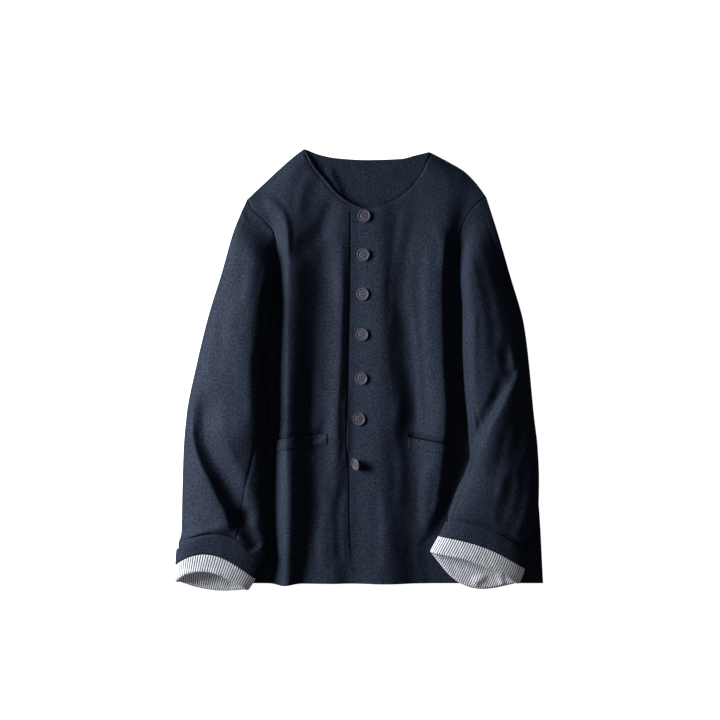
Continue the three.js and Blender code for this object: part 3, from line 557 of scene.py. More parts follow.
def twistedThread(name, dark, light):
    f = Finish(name)
    place = f.add("ShaderNodeTexCoord", {}, {}, "Object")
    twist = f.noise(place, 3200, 1.0)
    bump = f.bump(0.3, 0.1, twist)
    return f.finish({"Base Color": f.mixColour(twist, dark, light), "Roughness": 0.7 + twist * 0.2,
                     "Normal": bump, "Specular IOR Level": 0.3})


navy = navyLinen("navyLinen")
# Linen darkened to a painted shade, for the sheets above the welts
shade = navyLinen("linenPaintedShade", 0.12)
navyInside = navyLinen("navyLinenInside", 0.9)
striped = stripedCotton("stripedCotton")
plastic = mottledPlastic("mottledPlastic")
buttonThread = twistedThread("buttonThread", (0.02, 0.014, 0.014, 1), (0.07, 0.05, 0.045, 1))
seamThread = twistedThread("seamThread", (0.008, 0.011, 0.02, 1), (0.03, 0.04, 0.06, 1))


# Folds too soft or too small for the solids, listed from neck to hem
bodyFolds = [
    foldAlong(3.6, 10, 24, (-148, 254), (-126, 244), (-112, 226), (-107, 200), (-108, 160), crisp=(0.4, 0)),
    foldAlong(-2.4, 22, 15, (-33, 260), (-47, 230), (-55, 212), (-66, 197), (-84, 184), (-90, 150)),
    foldAlong(1.4, 14, 14, (-62, 300), (-84, 262), (-88, 226)),
    foldAlong(1.6, 16, 12, (70, 250), (60, 190), (52, 120), (50, 40)),
    foldAlong(-1.6, 12, 14, (96, 200), (88, 120), (92, 20), (98, -70)),
    foldAlong(1.4, 6, 9, (-14, -20), (-20, -60), (-17, -100), (-24, -150)),
    foldAlong(-2.2, 10, 10, (-44, -60), (-58, -96), (-82, -106)),
    foldAlong(1.6, 16, 12, (-60, -150), (-50, -200), (-56, -250), (-52, -300)),
    foldAlong(-1.3, 10, 10, (-24, -160), (-32, -220), (-30, -290)),
    foldAlong(1.5, 14, 14, (62, -30), (54, -90), (62, -150), (58, -220)),
    foldAlong(-1.4, 12, 16, (20, -170), (28, -230), (24, -300)),
    foldAlong(1.6, 14, 12, (104, -130), (96, -190), (100, -250)),
    foldAlong(1.5, 14, 12, (110, 220), (124, 180), (122, 140)),
    foldAlong(-2.6, 11, 24, (70, 100), (78, 20), (81, -50), (82, -100)),
    foldAlong(-1.6, 15, 21, (-40, 200), (-40, 100), (-42, 0), (-48, -80), (-48, -170)),
    foldAlong(3.2, 14, 34, (-100, -105), (-101, -190), (-102, -300)),
]
pocketMouths = [
    foldAlong(-2.8, 5, 2.4, (-121, -99.8), (-84, -95.4), (-49, -91.2), ends=(0.05, 0.05), pointed=0.4),
    foldAlong(-3.4, 7, 2.6, (72, -96.2), (106, -102), (140, -108.4), ends=(0.05, 0.05), pointed=0.4),
]
# The right front sinks beside the edge that lies on it, down to the rounded corner
cornerTurns = [(-math.cos(t), -math.sin(t)) for t in (0.35, 0.75, 1.15, 1.5)]
cornerPath = [(down(topEdge, [hemY])[0] + hemCorner["across"] * (1 + a), hemY + hemCorner["up"] * (1 + b))
              for a, b in cornerTurns]
besideEdge = [foldAlong(-1.2, 2.5, 3.8, *[(x - 1.2, y) for y, x in topEdge if y > hemY + hemCorner["up"]],
                        *cornerPath, ends=(0.02, 0.02), pointed=0.4)]
# The neckline's stitched edge stands up beside a groove
neckGrooves = [
    foldAlong(-1, 2.6, 2.6, *[(x + 2, y - 2.6) for x, y in neckFrontLeft[2:]], ends=(0.05, 0.05)),
    foldAlong(-0.9, 2.6, 2.6, *[(x - 1.6, y - 3) for x, y in neckFrontRight[:-1]], ends=(0.05, 0.05)),
]
armholeDitch = {"depth": 1.0, "reach": 1.9, "shows": (150, 178)}
bodyUneven = {"seed": 3.1, "size": 34, "height": 0.75, "smallSize": 13, "smallHeight": 0.25}
frontLimits = {"underlapEnds": (28, 56), "freeWithin": 3, "deepest": -2.5}


def unevenHeight(x, y, settings):
    return (settings["height"] * unevenness(x, y, settings["size"], settings["seed"])
            + settings["smallHeight"] * unevenness(x, y, settings["smallSize"], settings["seed"] + 7))


def frontHeight(x, y, lap=0.0):
    covered = 1 - smoothStep(*frontLimits["underlapEnds"], x)
    body = bodyHeight(x, y)
    free = smoothStep(sideHeight, sideHeight + frontLimits["freeWithin"], body)
    detail = foldHeight(bodyFolds, x, y) + unevenHeight(x, y, bodyUneven)
    return body + lap * covered + np.maximum(detail * free, frontLimits["deepest"])


print("fronts and back")
fronts = {
    "right": {"counts": [16, 14, 24, 14, 22, 10], "rows": [44, 24, 170], "lap": 0.0},
    "left": {"counts": [22, 18, 26, 14, 16], "rows": [44, 24, 170], "lap": 2.1},
}
hemDroop = {"depth": 2.4, "x": -112, "width": 13, "height": 70}
clearOfBack = 2 * cloth + 0.3


# Ditches stay clear of the back
def sunken(height, depth):
    return np.maximum(height + depth, np.minimum(height, clearOfBack))


# The cloth sinks a little into the armhole seam, as far down as it shows
def armholeSink(fromSeam, y):
    depth = armholeDitch["depth"] * np.exp(-(fromSeam / armholeDitch["reach"]) ** 2)
    return depth * smoothStep(*armholeDitch["shows"], y)


def droopHem(x, y):
    depth = hemDroop["depth"] * np.exp(-((x - hemDroop["x"]) / hemDroop["width"]) ** 2)
    return x, y - depth * smoothStep(hemDroop["height"], 0, y - hemY)


def addFront(side, stopsAt, topAt, sideLine, reshape, ditches):
    front = fronts[side]
    x, y = reshape(*frontPlan(stopsAt, front["counts"], topAt, rowShares(sideLine, side, front["rows"])))
    height = sunken(frontHeight(x, y, front["lap"]), foldHeight(ditches, x, y))
    grid = np.stack([x, y, height], axis=-1)
    spread = walked(grid, 1)
    rest = spread[:, -1:] - spread
    fromSide, fromEdge = (spread, -rest) if side == "right" else (rest, spread)
    grid[..., 2] -= armholeSink(fromSide, y)
    return addSheet("front_%s_cloth" % side, grid, fromEdge, y, material=navy)


pieces["frontRight"] = addFront("right", rightStops, topRight, sideRight, droopHem,
                                pocketMouths + besideEdge + neckGrooves)
pieces["frontLeft"] = addFront("left", leftStops, topLeft, sideLeft, roundCorner, pocketMouths + neckGrooves)

backRows, backColumns = 130, 120
share = np.linspace(0, 1, backColumns + 1)
topX = blend(shoulderTipRight[0], shoulderTipLeft[0], share)
topY = np.where(topX < neckRight[0], along(shoulderRight, topX),
                np.where(topX > neckLeft[0], along(shoulderLeft, topX), along(neckBack, topX)))
y = blend(topY[None, :], hemY, np.linspace(0, 1, backRows + 1)[:, None] ** 1.1)
x = blend(down(armholeBackRight, y), down(armholeBackLeft, y), share[None, :])
backFolds = [
    foldAlong(3.4, 11, 16, (-50, 304), (-40, 284), (-27, 258), ends=(0.3, 0.1)),
    foldAlong(0.7, 16, 14, (60, 300), (20, 288), (-4, 292)),
]
backGrid = np.stack([x, y, cloth + foldHeight(backFolds, x, y)], axis=-1)
pieces["back"] = addSheet("back_cloth", backGrid, x, y, material=navyInside)

print("sleeves")
seamShares = [0, 0.03, 0.1, 0.2, 0.32, 0.46, 0.6, 0.74, 0.88, 1]
lowerShares = [1, 0.97, 0.88, 0.75, 0.6, 0.45, 0.3, 0.15, 0.05, 0]
sleeveFine = {
    "step": 0.045, "upper": 84, "lower": 44, "inset": 3, "seamDip": 1.1, "seamReach": 2.2, "seamShows": (0.4, 1.5),
    "fade": 3.2, "fadeUnder": 5.2, "rise": 1.3, "riseUnder": 0.2, "tip": (30, 44), "tuck": 3,
}
tubeShape = {"under": 5, "over": 2.2, "bow": 0.1, "leastRoom": 5}
armholeGap = {"front": 0.35, "under": 0.2, "back": 0.3, "behind": 0.1}


def superEllipse(share, power):
    return np.maximum(0, 1 - np.abs(2 * share - 1) ** power) ** (1 / power)


# The lower layer rests on what lies beneath, and bows up a little inside the cuff
def lowerHeight(x, y, share, inset):
    return ground(x, y) + inset * (1 + tubeShape["bow"] * np.sin(np.pi * share))


def sleeveAt(sleeve, station):
    return tableRow(sleeveNames, sleeve["rows"], range(len(sleeve["rows"])), station)


# Points of the flattened tube, as in the solids: share is 0 at the outer edge and 1 at the inner one
def tubePoint(sleeve, station, share, upper, inset):
    station, share = np.broadcast_arrays(np.asarray(station, float), np.asarray(share, float))
    row = sleeveAt(sleeve, station)
    wayX, wayY = row["innerX"] - row["outerX"], row["innerY"] - row["outerY"]
    width = np.hypot(wayX, wayY)
    wayX, wayY = wayX / width, wayY / width
    upX, upY = wayY * sleeve["side"], -wayX * sleeve["side"]
    reach = inset + (width - 2 * inset) * share
    x, y = row["outerX"] + wayX * reach, row["outerY"] + wayY * reach
    edgeZ = blend(ground(row["outerX"], row["outerY"]), ground(row["innerX"], row["innerY"]), share) + row["edge"]
    if not upper:
        lowered = -row["bulge"] * np.sin(np.pi * share)
        x, y = x + upX * lowered, y + upY * lowered
        flat = superEllipse(share, tubeShape["under"])
        return np.stack([x, y, blend(edgeZ, lowerHeight(x, y, share, inset), flat)], axis=-1)
    skew = share ** (np.log(0.5) / np.log(row["peak"]))
    raised = row["setback"] * np.sin(np.pi * skew)
    x, y = x + upX * raised, y + upY * raised
    dome = superEllipse(skew, tubeShape["over"])
    lift = foldHeight(sleeve["folds"], x, y) * dome + unevenHeight(x, y, sleeve["uneven"]) * dome
    z = blend(edgeZ, row["crown"] - inset, dome) + lift
    return np.stack([x, y, np.maximum(z, ground(x, y) + tubeShape["leastRoom"] * dome)], axis=-1)


# The first ring runs down the front's armhole, under the sleeve and up the back's armhole
def armholeRing(sleeve, upperAt, lowerAt):
    top, bottom = sleeve["sideLine"][0][0], armholeEnd[sleeve["name"]][0]
    frontY = np.concatenate([top + (armholeTurn - top) * upperAt / 10,
                             armholeTurn + (bottom - armholeTurn) * np.clip(lowerAt / 4, 0, 1)])
    frontX = down(sleeve["sideLine"], frontY)
    way = np.stack([np.gradient(frontX), np.gradient(frontY)], axis=-1)
    way /= np.maximum(np.linalg.norm(way, axis=1, keepdims=True), 1e-9)
    out = np.stack([-way[:, 1], way[:, 0]], axis=-1) * sleeve["side"] * armholeGap["front"]
    ring = np.stack([frontX + out[:, 0], frontY + out[:, 1], bodyHeight(frontX, frontY)], axis=-1)
    upper, lower = ring[:len(upperAt)], ring[len(upperAt):]
    lower[:, 2] += (restGap + armholeGap["under"]) * np.clip(lowerAt, 0, 1)
    back = np.clip((lowerAt - 4) / 5, 0, 1)
    y = blend(bottom, top, back)
    x = down(sleeve["back"], y) + sleeve["side"] * armholeGap["back"]
    z = np.maximum(cloth + restGap, ground(x, y)) + armholeGap["behind"]
    behind = np.stack([x, y, z], axis=-1)
    k = smoothStep(3.9, 4.3, lowerAt)[:, None]
    lower = blend(lower, behind, k)
    closing = smoothStep(8.2, 9, lowerAt)[:, None]
    return upper, blend(lower, upper[:1], closing)


def sleeveTube(sleeve):
    last = len(sleeve["rows"]) - 3
    stations = np.concatenate([np.linspace(0, 0.3, 10)[:-1], np.arange(0.3, last + 1.8, sleeveFine["step"])])
    row = sleeveAt(sleeve, stations)
    upperAt = np.concatenate([np.linspace(0, 9, sleeveFine["upper"]), np.linspace(9, 10, 14)[1:]])
    lowerAt = np.linspace(0, 9, sleeveFine["lower"])[1:-1]
    ownUpper, ownLower = armholeRing(sleeve, upperAt, lowerAt)
    toSeam = np.interp(upperAt, range(10), seamShares)
    past = np.clip(upperAt - 9, 0, 1)
    upperShare = toSeam[None, :] * (1 - row["seam"][:, None]) + past[None, :] * row["seam"][:, None]
    lowerShare = np.interp(lowerAt, range(10), lowerShares)[None, :].repeat(len(stations), 0)
    start = sleeveAt(sleeve, np.zeros(1))
    s = stations[:, None]
    inset = sleeveFine["inset"] * smoothStep(last - 0.55, last, s)
    sides = []
    for share, own, upper in ((upperShare, ownUpper, True), (lowerShare, ownLower, False)):
        p = tubePoint(sleeve, s, share, upper, inset)
        fade = 1 - (smoothStep(0, sleeveFine["fade"], s) if upper else np.clip(s / sleeveFine["fadeUnder"], 0, 1))
        p[..., 0] += fade * (own[None, :, 0] - blend(start["outerX"], start["innerX"], share))
        p[..., 1] += fade * (own[None, :, 1] - blend(start["outerY"], start["innerY"], share))
        flat = 0 * share if upper else superEllipse(share, tubeShape["under"])
        if not upper:
            edgeZ = ground(p[..., 0], p[..., 1]) + row["edge"][:, None]
            laid = blend(edgeZ, lowerHeight(p[..., 0], p[..., 1], share, inset), flat)
            p[..., 2] = np.where(fade > 0, laid, p[..., 2])
        rise = blend(smoothStep(0, sleeveFine["rise"], s), smoothStep(0, sleeveFine["riseUnder"], s), flat)
        p[..., 2] = blend(own[None, :, 2], p[..., 2], rise)
        if not upper:
            # Beside the end of the shoulder seam the lower layer stays clear beneath the upper one
            fromTip = np.hypot(p[..., 0] - ownUpper[0, 0], p[..., 1] - ownUpper[0, 1])
            lowest = sides[0][:, :1, 2] - sleeveFine["tuck"] * flat
            p[..., 2] = blend(np.minimum(p[..., 2], lowest), p[..., 2], smoothStep(*sleeveFine["tip"], fromTip))
        sides.append(p)
    tube = np.concatenate(sides, axis=1)
    upperPart = tube[:, :sleeveFine["upper"]]
    upperPart[..., 2] -= armholeSink(walked(upperPart, 0), upperPart[..., 1])
    seamColumn = sleeveFine["upper"] - 1
    around = walked(tube, 1)
    fromSeam = np.abs(around - around[:, seamColumn:seamColumn + 1])
    dip = sleeveFine["seamDip"] * np.exp(-(fromSeam / sleeveFine["seamReach"]) ** 2)
    tube[..., 2] -= dip * smoothStep(*sleeveFine["seamShows"], s)
    return tube, seamColumn, around


sleeveUneven = {"size": 38, "height": 1.0, "smallSize": 14, "smallHeight": 0.3}
sleeves = [
    {"name": "right", "side": -1, "rows": sleeveRowsRight, "sideLine": sideRight, "back": armholeBackRight,
     "uneven": {"seed": 4.0, **sleeveUneven},
     "folds": [
         foldAlong(-12, 34, 17, (-226, -12), (-228, -50), (-228, -88), (-219, -122), (-204, -151),
                   (-191, -177), (-179, -203), (-170, -236), crisp=(0, 0.7), ends=(0.25, 0.1)),
         foldAlong(4.5, 11, 32, (-250, -62), (-247, -95), (-238, -130), (-222, -162), (-208, -190),
                   (-196, -214), (-187, -240), ends=(0.15, 0.1)),
         foldAlong(9, 9, 60, (-151, 150), (-148, 60), (-149, -40), (-158, -130), ends=(0.2, 0.2)),
         foldAlong(-2.2, 3, 2.5, (-270, -259), (-251, -247), (-215, -239), (-190, -242), (-158, -259),
                   (-136, -263), ends=(0.05, 0.05)),
         foldAlong(-9, 18, 17, (-180, -200), (-166, -230), (-148, -262), ends=(0.3, 0.1)),
         foldAlong(2, 16, 14, (-170, 214), (-166, 150), (-170, 90)),
         foldAlong(-1.6, 16, 16, (-196, 120), (-204, 40), (-212, -20)),
         foldAlong(1.6, 12, 14, (-150, 60), (-158, -20), (-156, -90)),
     ]},
    {"name": "left", "side": 1, "rows": sleeveRowsLeft, "sideLine": sideLeft, "back": armholeBackLeft,
     "uneven": {"seed": 6.0, **sleeveUneven},
     "folds": [
         foldAlong(9, 44, 22, (236, 36), (218, -38), (202, -69), (187, -102), (175, -128), (162, -158)),
         foldAlong(-6.5, 9, 19, (234, 22), (226, -2), (205, -38), (194, -59), (182, -80), (170, -104),
                   (159, -128), (148, -150), (142, -168), crisp=(0.9, 0), pointed=0.45, ends=(0.16, 0.04)),
         foldAlong(-3.4, 11, 15, (211, 50), (215, 18), (221, -12), ends=(0.5, 0.1)),
         foldAlong(-2.2, 16, 18, (223, -148), (217, -190), (208, -234)),
         foldAlong(-2.2, 3, 2.5, (136, -218), (163, -223), (191, -229), (226, -244), (243, -262),
                   ends=(0.05, 0.05)),
         foldAlong(-1.6, 4, 5, (167, -48), (172, -66), (178, -86)),
         foldAlong(-1.6, 14, 14, (182, 210), (190, 140), (196, 60), (200, 0)),
         foldAlong(1.6, 10, 12, (170, 100), (166, 20), (170, -40)),
         foldAlong(1.8, 16, 14, (232, -60), (216, -130), (204, -200)),
         foldAlong(-1.8, 14, 14, (246, -120), (236, -190), (214, -250)),
     ]},
]

for sleeve in sleeves:
    tube, seamColumn, around = sleeveTube(sleeve)
    columns = tube.shape[1]
    middle = seamColumn // 2
    acrossMap = around - around[:, middle:middle + 1]
    lengthMap = walked(tube, 0)[:, middle:middle + 1].repeat(columns, 1)
    left = sleeve["side"] > 0
    topPart = np.concatenate([[columns - 1], np.arange(seamColumn + 1)])
    underPart = np.arange(seamColumn, columns)
    acrossTop = acrossMap[:, topPart].copy()
    acrossTop[:, 0] = 2 * acrossTop[:, 1] - acrossTop[:, 2]
    for part, picked, across in (("top", topPart, acrossTop), ("under", underPart, acrossMap[:, underPart])):
        points = tube[:, picked].copy()
        for end, nextOne in ((0, 1), (-1, -2)):
            way = points[:, nextOne] - points[:, end]
            points[:, end] += way / np.linalg.norm(way, axis=1, keepdims=True) * 0.17
        pieces[part + sleeve["name"]] = addSheet(
            "sleeve_%s_%s_cloth" % (part, sleeve["name"]), points, across, -lengthMap[:, picked],
            flip=left, material=navy)

print("turned-up cuffs")
cuff = {
    "columns": 96, "lower": 84,
    "band": [(0, 1.9), (0.004, 0.9), (0.02, 0.15), (0.05, 0), (0.9, 0), (0.94, 0.12), (0.965, 0.7), (0.97, 1.6)],
    "lining": [(1.0, 0.9), (1.004, 0.3), (1.03, 0.05), (1.88, 0), (1.94, 0.35), (1.975, 1.2), (2.0, 3.2),
               (1.975, 5.2), (1.94, 6.05), (1.88, 6.4), (-0.5, 6.4)],
    "step": 0.06, "bandWall": 1.6, "liningWall": 1.2, "mouth": (1.2, 1.6), "pucker": 0.45, "puckerSize": 9,
}


def alongProfile(profile, step):
    stations, insets = [profile[0][0]], [profile[0][1]]
    for (s0, i0), (s1, i1) in zip(profile[:-1], profile[1:]):
        n = max(1, int(math.ceil(abs(s1 - s0) / step)))
        stations += [blend(s0, s1, k / n) for k in range(1, n + 1)]
        insets += [blend(i0, i1, k / n) for k in range(1, n + 1)]
    return np.array(stations), np.array(insets)


# Rings all round the flattened sleeve at the stations and insets of a profile
def cuffRings(sleeve, profile):
    stations, insets = alongProfile(profile, cuff["step"])
    at = len(sleeve["rows"]) - 3 + stations
    over = 0.5 - 0.5 * np.cos(np.pi * np.linspace(0, 1, cuff["columns"]))
    under = 0.5 + 0.5 * np.cos(np.pi * np.linspace(0, 1, cuff["lower"]))[1:-1]
    rings = [tubePoint(sleeve, at[:, None], share[None, :], upper, insets[:, None])
             for share, upper in ((over, True), (under, False))]
    return np.concatenate(rings, axis=1), stations


# The lining puckers a little where it is turned, and lies in small creases in the mouth
liningCreases = {
    "right": [foldAlong(1.0, 8, 8, (-268, -300), (-240, -294), (-214, -306)),
              foldAlong(-1.4, 7, 7, (-204, -298), (-196, -312), (-186, -322)),
              foldAlong(1.2, 8, 8, (-232, -300), (-228, -316)),
              foldAlong(-1.2, 7, 7, (-252, -296), (-248, -312))],
    "left": [foldAlong(3.2, 9, 12, (192, -288), (182, -302), (166, -318)),
             foldAlong(2.4, 7, 7, (203, -296), (208, -306), (212, -318)),
             foldAlong(-1.0, 8, 8, (150, -276), (160, -292))],
}


def addCuff(sleeve):
    left = sleeve["side"] > 0
    for part, profile, wall, finish in (("band", cuff["band"], cuff["bandWall"], navy),
                                        ("lining", cuff["lining"], cuff["liningWall"], striped)):
        rings, stations = cuffRings(sleeve, profile)
        middle = cuff["columns"] // 2
        around = walked(np.concatenate([rings, rings[:, :1]], axis=1), 1)
        level = np.argmin(np.abs(stations - 1.5)) if part == "lining" else len(stations) // 2
        lengthMap = walked(rings, 0)[:, middle:middle + 1].repeat(rings.shape[1] + 1, 1)
        acrossMap = around[level:level + 1].repeat(len(stations), 0)
        if part == "lining":
            inMouth = smoothStep(*cuff["mouth"], stations)[:, None]
            creases = foldHeight(liningCreases[sleeve["name"]], rings[..., 0], rings[..., 1])
            puckers = cuff["pucker"] * unevenness(rings[..., 0], rings[..., 1], cuff["puckerSize"], 2.2)
            bottom = np.minimum(ground(rings[..., 0], rings[..., 1]) + 1, rings[..., 2])
            rings[..., 2] = np.maximum(rings[..., 2] + (creases + puckers) * inMouth, bottom)
        closing = np.concatenate([rings, rings[:, :1]], axis=1)
        piece = addSheet("cuff_%s_%s_cloth" % (part, sleeve["name"]), closing, acrossMap, -lengthMap,
                         flip=left, thickness=0, material=finish)
        editWhole(piece, bpy.ops.mesh.remove_doubles, {"threshold": 0.01 * mm})
        addWall(piece, wall)
        pieces[part + sleeve["name"]] = piece


for sleeve in sleeves:
    addCuff(sleeve)

print("pocket welts")
welts = {
    "right": {"from": -121, "to": -48, "topFrom": -102, "topTo": -93.3, "gape": 0.5, "mouth": 1.8},
    "left": {"from": 71, "to": 141, "topFrom": -98.7, "topTo": -111, "gape": 1.2, "mouth": 3.4},
}
weltSize = {"depth": 15, "thickness": 1.4, "lift": 0.5, "round": 0.45, "roundWidth": 1.6, "columns": 60, "rows": 14}


def slopesOf(heightAt, x, y, step):
    return [(heightAt(x + dx, y + dy) - heightAt(x - dx, y - dy)) / (2 * step) for dx, dy in ((step, 0), (0, step))]


def surfacePoint(x, y, height, lap=0.0):
    slopeX, slopeY = slopesOf(lambda a, b: frontHeight(a, b, lap), x, y, 1.0)
    normal = np.stack([-slopeX, -slopeY, np.ones_like(slopeX)], axis=-1)
    normal /= np.linalg.norm(normal, axis=-1, keepdims=True)
    return np.stack([x, y, frontHeight(x, y, lap)], axis=-1) + normal * np.asarray(height)[..., None]


def weltTop(pocket, x):
    return np.interp(x, [pocket["from"], pocket["to"]], [pocket["topFrom"], pocket["topTo"]])


def ofWelt(pocket, x):
    return (x - pocket["from"]) / (pocket["to"] - pocket["from"])


for side, pocket in welts.items():
    across = np.linspace(pocket["from"], pocket["to"], weltSize["columns"] + 1)[None, :]
    share = np.linspace(0, 1, weltSize["rows"] + 1)[:, None]
    top = weltTop(pocket, across)
    x = across + 0 * share
    y = top - weltSize["depth"] * share
    atEdge = np.minimum(np.minimum(share, 1 - share) * weltSize["depth"],
                        np.minimum(x - pocket["from"], pocket["to"] - x))
    rounded = weltSize["round"] * smoothStep(0, weltSize["roundWidth"], atEdge)
    gape = pocket["gape"] * (1 - share) ** 3 * np.sin(np.pi * ofWelt(pocket, x))
    points = surfacePoint(x, y, weltSize["lift"] + weltSize["thickness"] - weltSize["round"] + rounded + gape)
    pieces["welt" + side] = addSheet("welt_%s_cloth" % side, points, y, walked(points, 1),
                                     thickness=weltSize["thickness"] - 0.2, material=navy)
    # Painted shade: a thin sheet of linen darkened to near black lies above each welt, standing for the shadowed
    # pocket opening
    share = np.linspace(-0.3, 1, 6)[:, None]
    x = across[:, 1:-1] + 0 * share
    ofLength = np.clip(ofWelt(pocket, x), 0.02, 0.98)
    y = top[:, 1:-1] + share * pocket["mouth"] * np.sin(np.pi * ofLength) ** 0.4
    points = surfacePoint(x, y, 0.5) + np.stack([0 * x, 0 * x, foldHeight(pocketMouths, x, y)], axis=-1)
    pieces["mouth" + side] = addSheet("pocket_mouth_painted_shade_" + side, points, y, x, thickness=0.3, material=shade)

print("buttons")
# The insets make the raised rim, its slope, the groove, the lip and the low middle
button = {
    "sides": 64, "radius": 9.3, "height": 3.2,
    "insets": [(1.9, 0), (0.35, -1.25), (1.0, 0), (0.4, 0.55), (2.0, -0.15)],
    "backSize": 0.84, "bevel": 0.38, "bevelAngle": 28, "holeSides": 20, "hole": 0.95, "spread": 2.1,
    "places": [(6.9, 227.6), (5.7, 170.4), (4.8, 112.6), (4, 53.1), (2.7, -11.6), (-0.4, -71.5), (-4.1, -137.5)],
    "turns": [8, -14, 4, 22, -6, 12, 15], "looseTilt": -48,
}
thread = {"radius": 0.5, "height": 2.55, "sag": 1.1, "cutEvery": 0.9}


def addCylinder(vertices, radius, depth, place, turn=(0, 0, 0)):
    deselectAll()
    bpy.ops.mesh.primitive_cylinder_add(vertices=vertices, radius=radius * mm, depth=depth * mm, rotation=turn,
                                        location=[c * mm for c in place])
    return bpy.context.object


def selectFacing(piece, way):
    mesh = bmesh.from_edit_mesh(piece.data)
    for face in mesh.faces:
        face.select_set(face.normal.z * way > 0.9)
    mesh.select_flush_mode()
    bmesh.update_edit_mesh(piece.data)


def modelButton():
    body = addCylinder(button["sides"], button["radius"], button["height"], (0, 0, button["height"] / 2))
    body.name = "button"
    bpy.ops.object.transform_apply(location=True, rotation=True, scale=True)
    bpy.ops.object.mode_set(mode="EDIT")
    bpy.ops.mesh.select_mode(type="FACE")
    selectFacing(body, 1)
    for inwards, rise in button["insets"]:
        bpy.ops.mesh.inset(thickness=inwards * mm, depth=rise * mm)
    # The back is turned smaller than the rim
    selectFacing(body, -1)
    bpy.ops.transform.resize(value=(button["backSize"], button["backSize"], 1))
    bpy.ops.object.mode_set(mode="OBJECT")
    edges = body.modifiers.new("edges", "BEVEL")
    edges.width, edges.segments = button["bevel"] * mm, 3
    edges.limit_method, edges.angle_limit = "ANGLE", math.radians(button["bevelAngle"])
    applyModifiers(body)
    spread = button["spread"]
    drill = joined([addCylinder(button["holeSides"], button["hole"], 12, (sx * spread, sy * spread, 0))
                    for sx, sy in ((1, 1), (-1, 1), (-1, -1), (1, -1))])
    holes = body.modifiers.new("holes", "BOOLEAN")
    holes.operation, holes.object, holes.solver = "DIFFERENCE", drill, "EXACT"
    applyModifiers(body)
    bpy.data.objects.remove(drill)
    return smoothed(body, 40, plastic)


# Two stitches of thick thread between the holes, each a bent round bar
def modelThread():
    bars = []
    for offset in (-1, 1):
        bar = addCylinder(12, thread["radius"], 2 * button["spread"],
                          (0, offset * button["spread"], thread["height"]), (0, math.pi / 2, 0))
        bpy.ops.object.transform_apply(location=True, rotation=True, scale=True)
        editWhole(bar, bpy.ops.mesh.bisect, *[
            {"plane_co": (k * thread["cutEvery"] * mm, 0, 0), "plane_no": (1, 0, 0)} for k in (0, -2, -1, 1, 2)])
        for vertex in bar.data.vertices:
            vertex.co.z -= thread["sag"] * mm * (vertex.co.x / (button["spread"] * mm)) ** 2
        bars.append(bar)
    return smoothed(joined(bars), 60, buttonThread)


master = joined([modelButton(), modelThread()])
for i, (x, y) in enumerate(button["places"]):
    piece = master.copy()
    piece.data = master.data.copy()
    piece.name = "button_%d_turned" % (i + 1)
    bpy.context.scene.collection.objects.link(piece)
    slopeX, slopeY = (float(slope) for slope in slopesOf(bodyHeight, x, y, button["radius"]))
    lie = Vector((0, 0, 1)).rotation_difference(Vector((-slopeX, -slopeY, 1)).normalized()).to_matrix().to_4x4()
    swing = Matrix.Rotation(math.radians(button["turns"][i]), 4, "Z")
    if i == len(button["places"]) - 1:
        swing = swing @ Matrix.Rotation(math.radians(button["looseTilt"]), 4, "Y")
    low, high = (Vector(corner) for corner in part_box("button_%d" % (i + 1)))
    piece.data.transform(lie @ swing)
    corners = np.array([vertex.co for vertex in piece.data.vertices])
    middle = Vector((corners.min(axis=0) + corners.max(axis=0)) / 2)
    piece.data.transform(Matrix.Translation((low + high) / 2 - middle))
    pieces["button%d" % (i + 1)] = piece
bpy.data.objects.remove(master)

print("sewing")
stitch = {
    "length": 2.3, "gap": 1.2, "width": 0.26, "sides": 6, "taper": ((0, 0.35), (0.2, 1), (0.8, 1), (1, 0.35)),
    "above": 0.12, "front": (236, hemY + 44), "fromEdge": 5, "hemRight": (-131, -16), "hemLeft": (-5, 103),
    "hemLine": hemY + 30, "inset": 1.6, "weltEnds": 1.2, "weltShare": (0.08, 0.9),
}


# A row of stitches along a path: each is a short round bar with closed, tapered ends
def addStitches(name, path):
    starts = walked(path, 0)
    pitch = stitch["length"] + stitch["gap"]
    vertices, faces = [], []
    turn = np.linspace(0, 2 * np.pi, stitch["sides"], endpoint=False)
    for begin in np.arange(0, starts[-1] - pitch, pitch):
        ends = [np.array([np.interp(begin + t, starts, path[:, k]) for k in range(3)])
                for t in (0, stitch["length"])]
        way = ends[1] - ends[0]
        way /= np.linalg.norm(way)
        side = np.cross(way, (0, 0, 1))
        side /= np.linalg.norm(side)
        up = np.cross(side, way)
        base = len(vertices)
        for t, size in stitch["taper"]:
            centre = ends[0] + (ends[1] - ends[0]) * t
            for angle in turn:
                out = side * math.cos(angle) + up * math.sin(angle)
                vertices.append((centre + out * stitch["width"] * size + tableShift) * mm)
        n = stitch["sides"]
        for ring in range(3):
            for k in range(n):
                a, b = base + ring * n + k, base + ring * n + (k + 1) % n
                faces.append((a, b, b + n, a + n))
        faces.append(tuple(base + k for k in reversed(range(n))))
        faces.append(tuple(base + 3 * n + k for k in range(n)))
    piece = addMesh(name, [tuple(v) for v in vertices], faces)
    editWhole(piece, bpy.ops.mesh.normals_make_consistent, {"inside": False})
    pieces[name] = smoothed(piece, 60, seamThread)


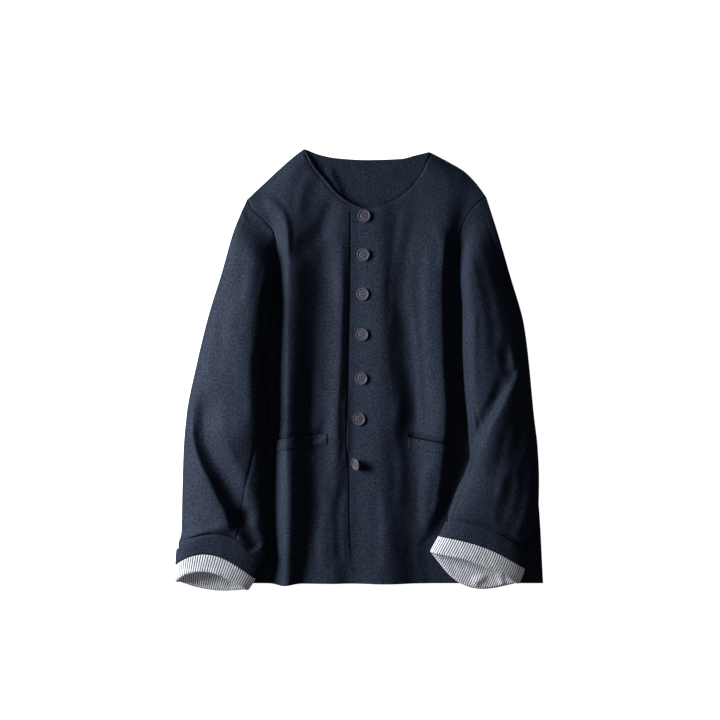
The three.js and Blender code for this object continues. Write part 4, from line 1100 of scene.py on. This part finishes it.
edgeY = np.linspace(*stitch["front"], 260)
hemRightX, hemLeftX = np.linspace(*stitch["hemRight"], 120), np.linspace(*stitch["hemLeft"], 120)
for name, x, y, lap in (("front_edge", down(topEdge, edgeY) + stitch["fromEdge"], edgeY, fronts["left"]["lap"]),
                        ("hem_right", hemRightX, stitch["hemLine"] + 0 * hemRightX, 0.0),
                        ("hem_left", hemLeftX, stitch["hemLine"] + 0 * hemLeftX, fronts["left"]["lap"])):
    addStitches("stitches_" + name, surfacePoint(x, y, stitch["above"], lap))
onWelt = weltSize["lift"] + weltSize["thickness"] + 0.1
for side, pocket in welts.items():
    x = np.linspace(pocket["from"] + stitch["weltEnds"], pocket["to"] - stitch["weltEnds"], 60)
    y = weltTop(pocket, x) - weltSize["depth"] + stitch["inset"]
    addStitches("stitches_welt_" + side, surfacePoint(x, y, onWelt))
    share = np.linspace(*stitch["weltShare"], 12)
    for end, x in (("inner", pocket["from"] + stitch["inset"]), ("outer", pocket["to"] - stitch["inset"])):
        y = weltTop(pocket, x) - weltSize["depth"] * share
        addStitches("stitches_welt_%s_%s" % (side, end), surfacePoint(x + 0 * share, y, onWelt))

cadOf = {"frontRight": "front_right", "frontLeft": "front_left", "back": "back"}
for side in ("right", "left"):
    for key, node in (("top", "sleeve_top_"), ("under", "sleeve_under_"), ("band", "cuff_band_"),
                      ("lining", "cuff_lining_"), ("welt", "welt_")):
        cadOf[key + side] = node + side
for i in range(1, len(button["places"]) + 1):
    cadOf["button%d" % i] = "button_%d" % i
for key, piece in pieces.items():
    if key in cadOf:
        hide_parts(cadOf[key])
    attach(piece, "root")

print("studio")
bpy.ops.mesh.primitive_plane_add(size=9, location=(0, 0, -0.0002))
floor = bpy.context.object
floor.name = "floor"
paper = Finish("whitePaper")
grain = paper.noise(paper.add("ShaderNodeTexCoord", {}, {}, "Object"), 90, 2.0)
floor.data.materials.append(paper.finish({
    "Base Color": paper.mixColour(grain, (0.93, 0.93, 0.93, 1), (0.95, 0.95, 0.95, 1)), "Roughness": 0.9,
    "Specular IOR Level": 0.1, "Emission Color": (1, 1, 1, 1), "Emission Strength": 1.0}))
floor.visible_diffuse = floor.visible_glossy = False

studio = {
    "key": {"place": (-1.8, 0.42, 0.74), "size": (1.1, 0.75), "power": 88},
    "top": {"place": (-0.2, 0.5, 2.9), "size": (1.6, 1.6), "power": 2.5},
}
for name, lamp in studio.items():
    data = bpy.data.lights.new(name, "AREA")
    data.shape, data.size, data.size_y = "RECTANGLE", *lamp["size"]
    data.energy = lamp["power"]
    light = bpy.data.objects.new(name, data)
    light.location = lamp["place"]
    light.rotation_euler = (-light.location).to_track_quat("-Z", "Y").to_euler()
    bpy.context.scene.collection.objects.link(light)

world = bpy.data.worlds.new("paleRoom")
world.use_nodes = True
world.node_tree.nodes["Background"].inputs["Color"].default_value = (0.93, 0.96, 1, 1)
world.node_tree.nodes["Background"].inputs["Strength"].default_value = 0.05
bpy.context.scene.world = world
bpy.context.scene.view_settings.view_transform = "Standard"

view = {"lens": 85, "sensor": 36, "pixels": 720, "pixelSize": 1.48, "centre": (0.8, 15.5)}
cameraData = bpy.data.cameras.new("overhead")
cameraData.lens, cameraData.sensor_width = view["lens"], view["sensor"]
camera = bpy.data.objects.new("overhead", cameraData)
distance = view["pixels"] * view["pixelSize"] * view["lens"] / view["sensor"]
camera.location = ((view["centre"][0] + tableShift[0]) * mm, (view["centre"][1] + tableShift[1]) * mm,
                   distance * mm)
bpy.context.scene.collection.objects.link(camera)
bpy.context.scene.camera = camera
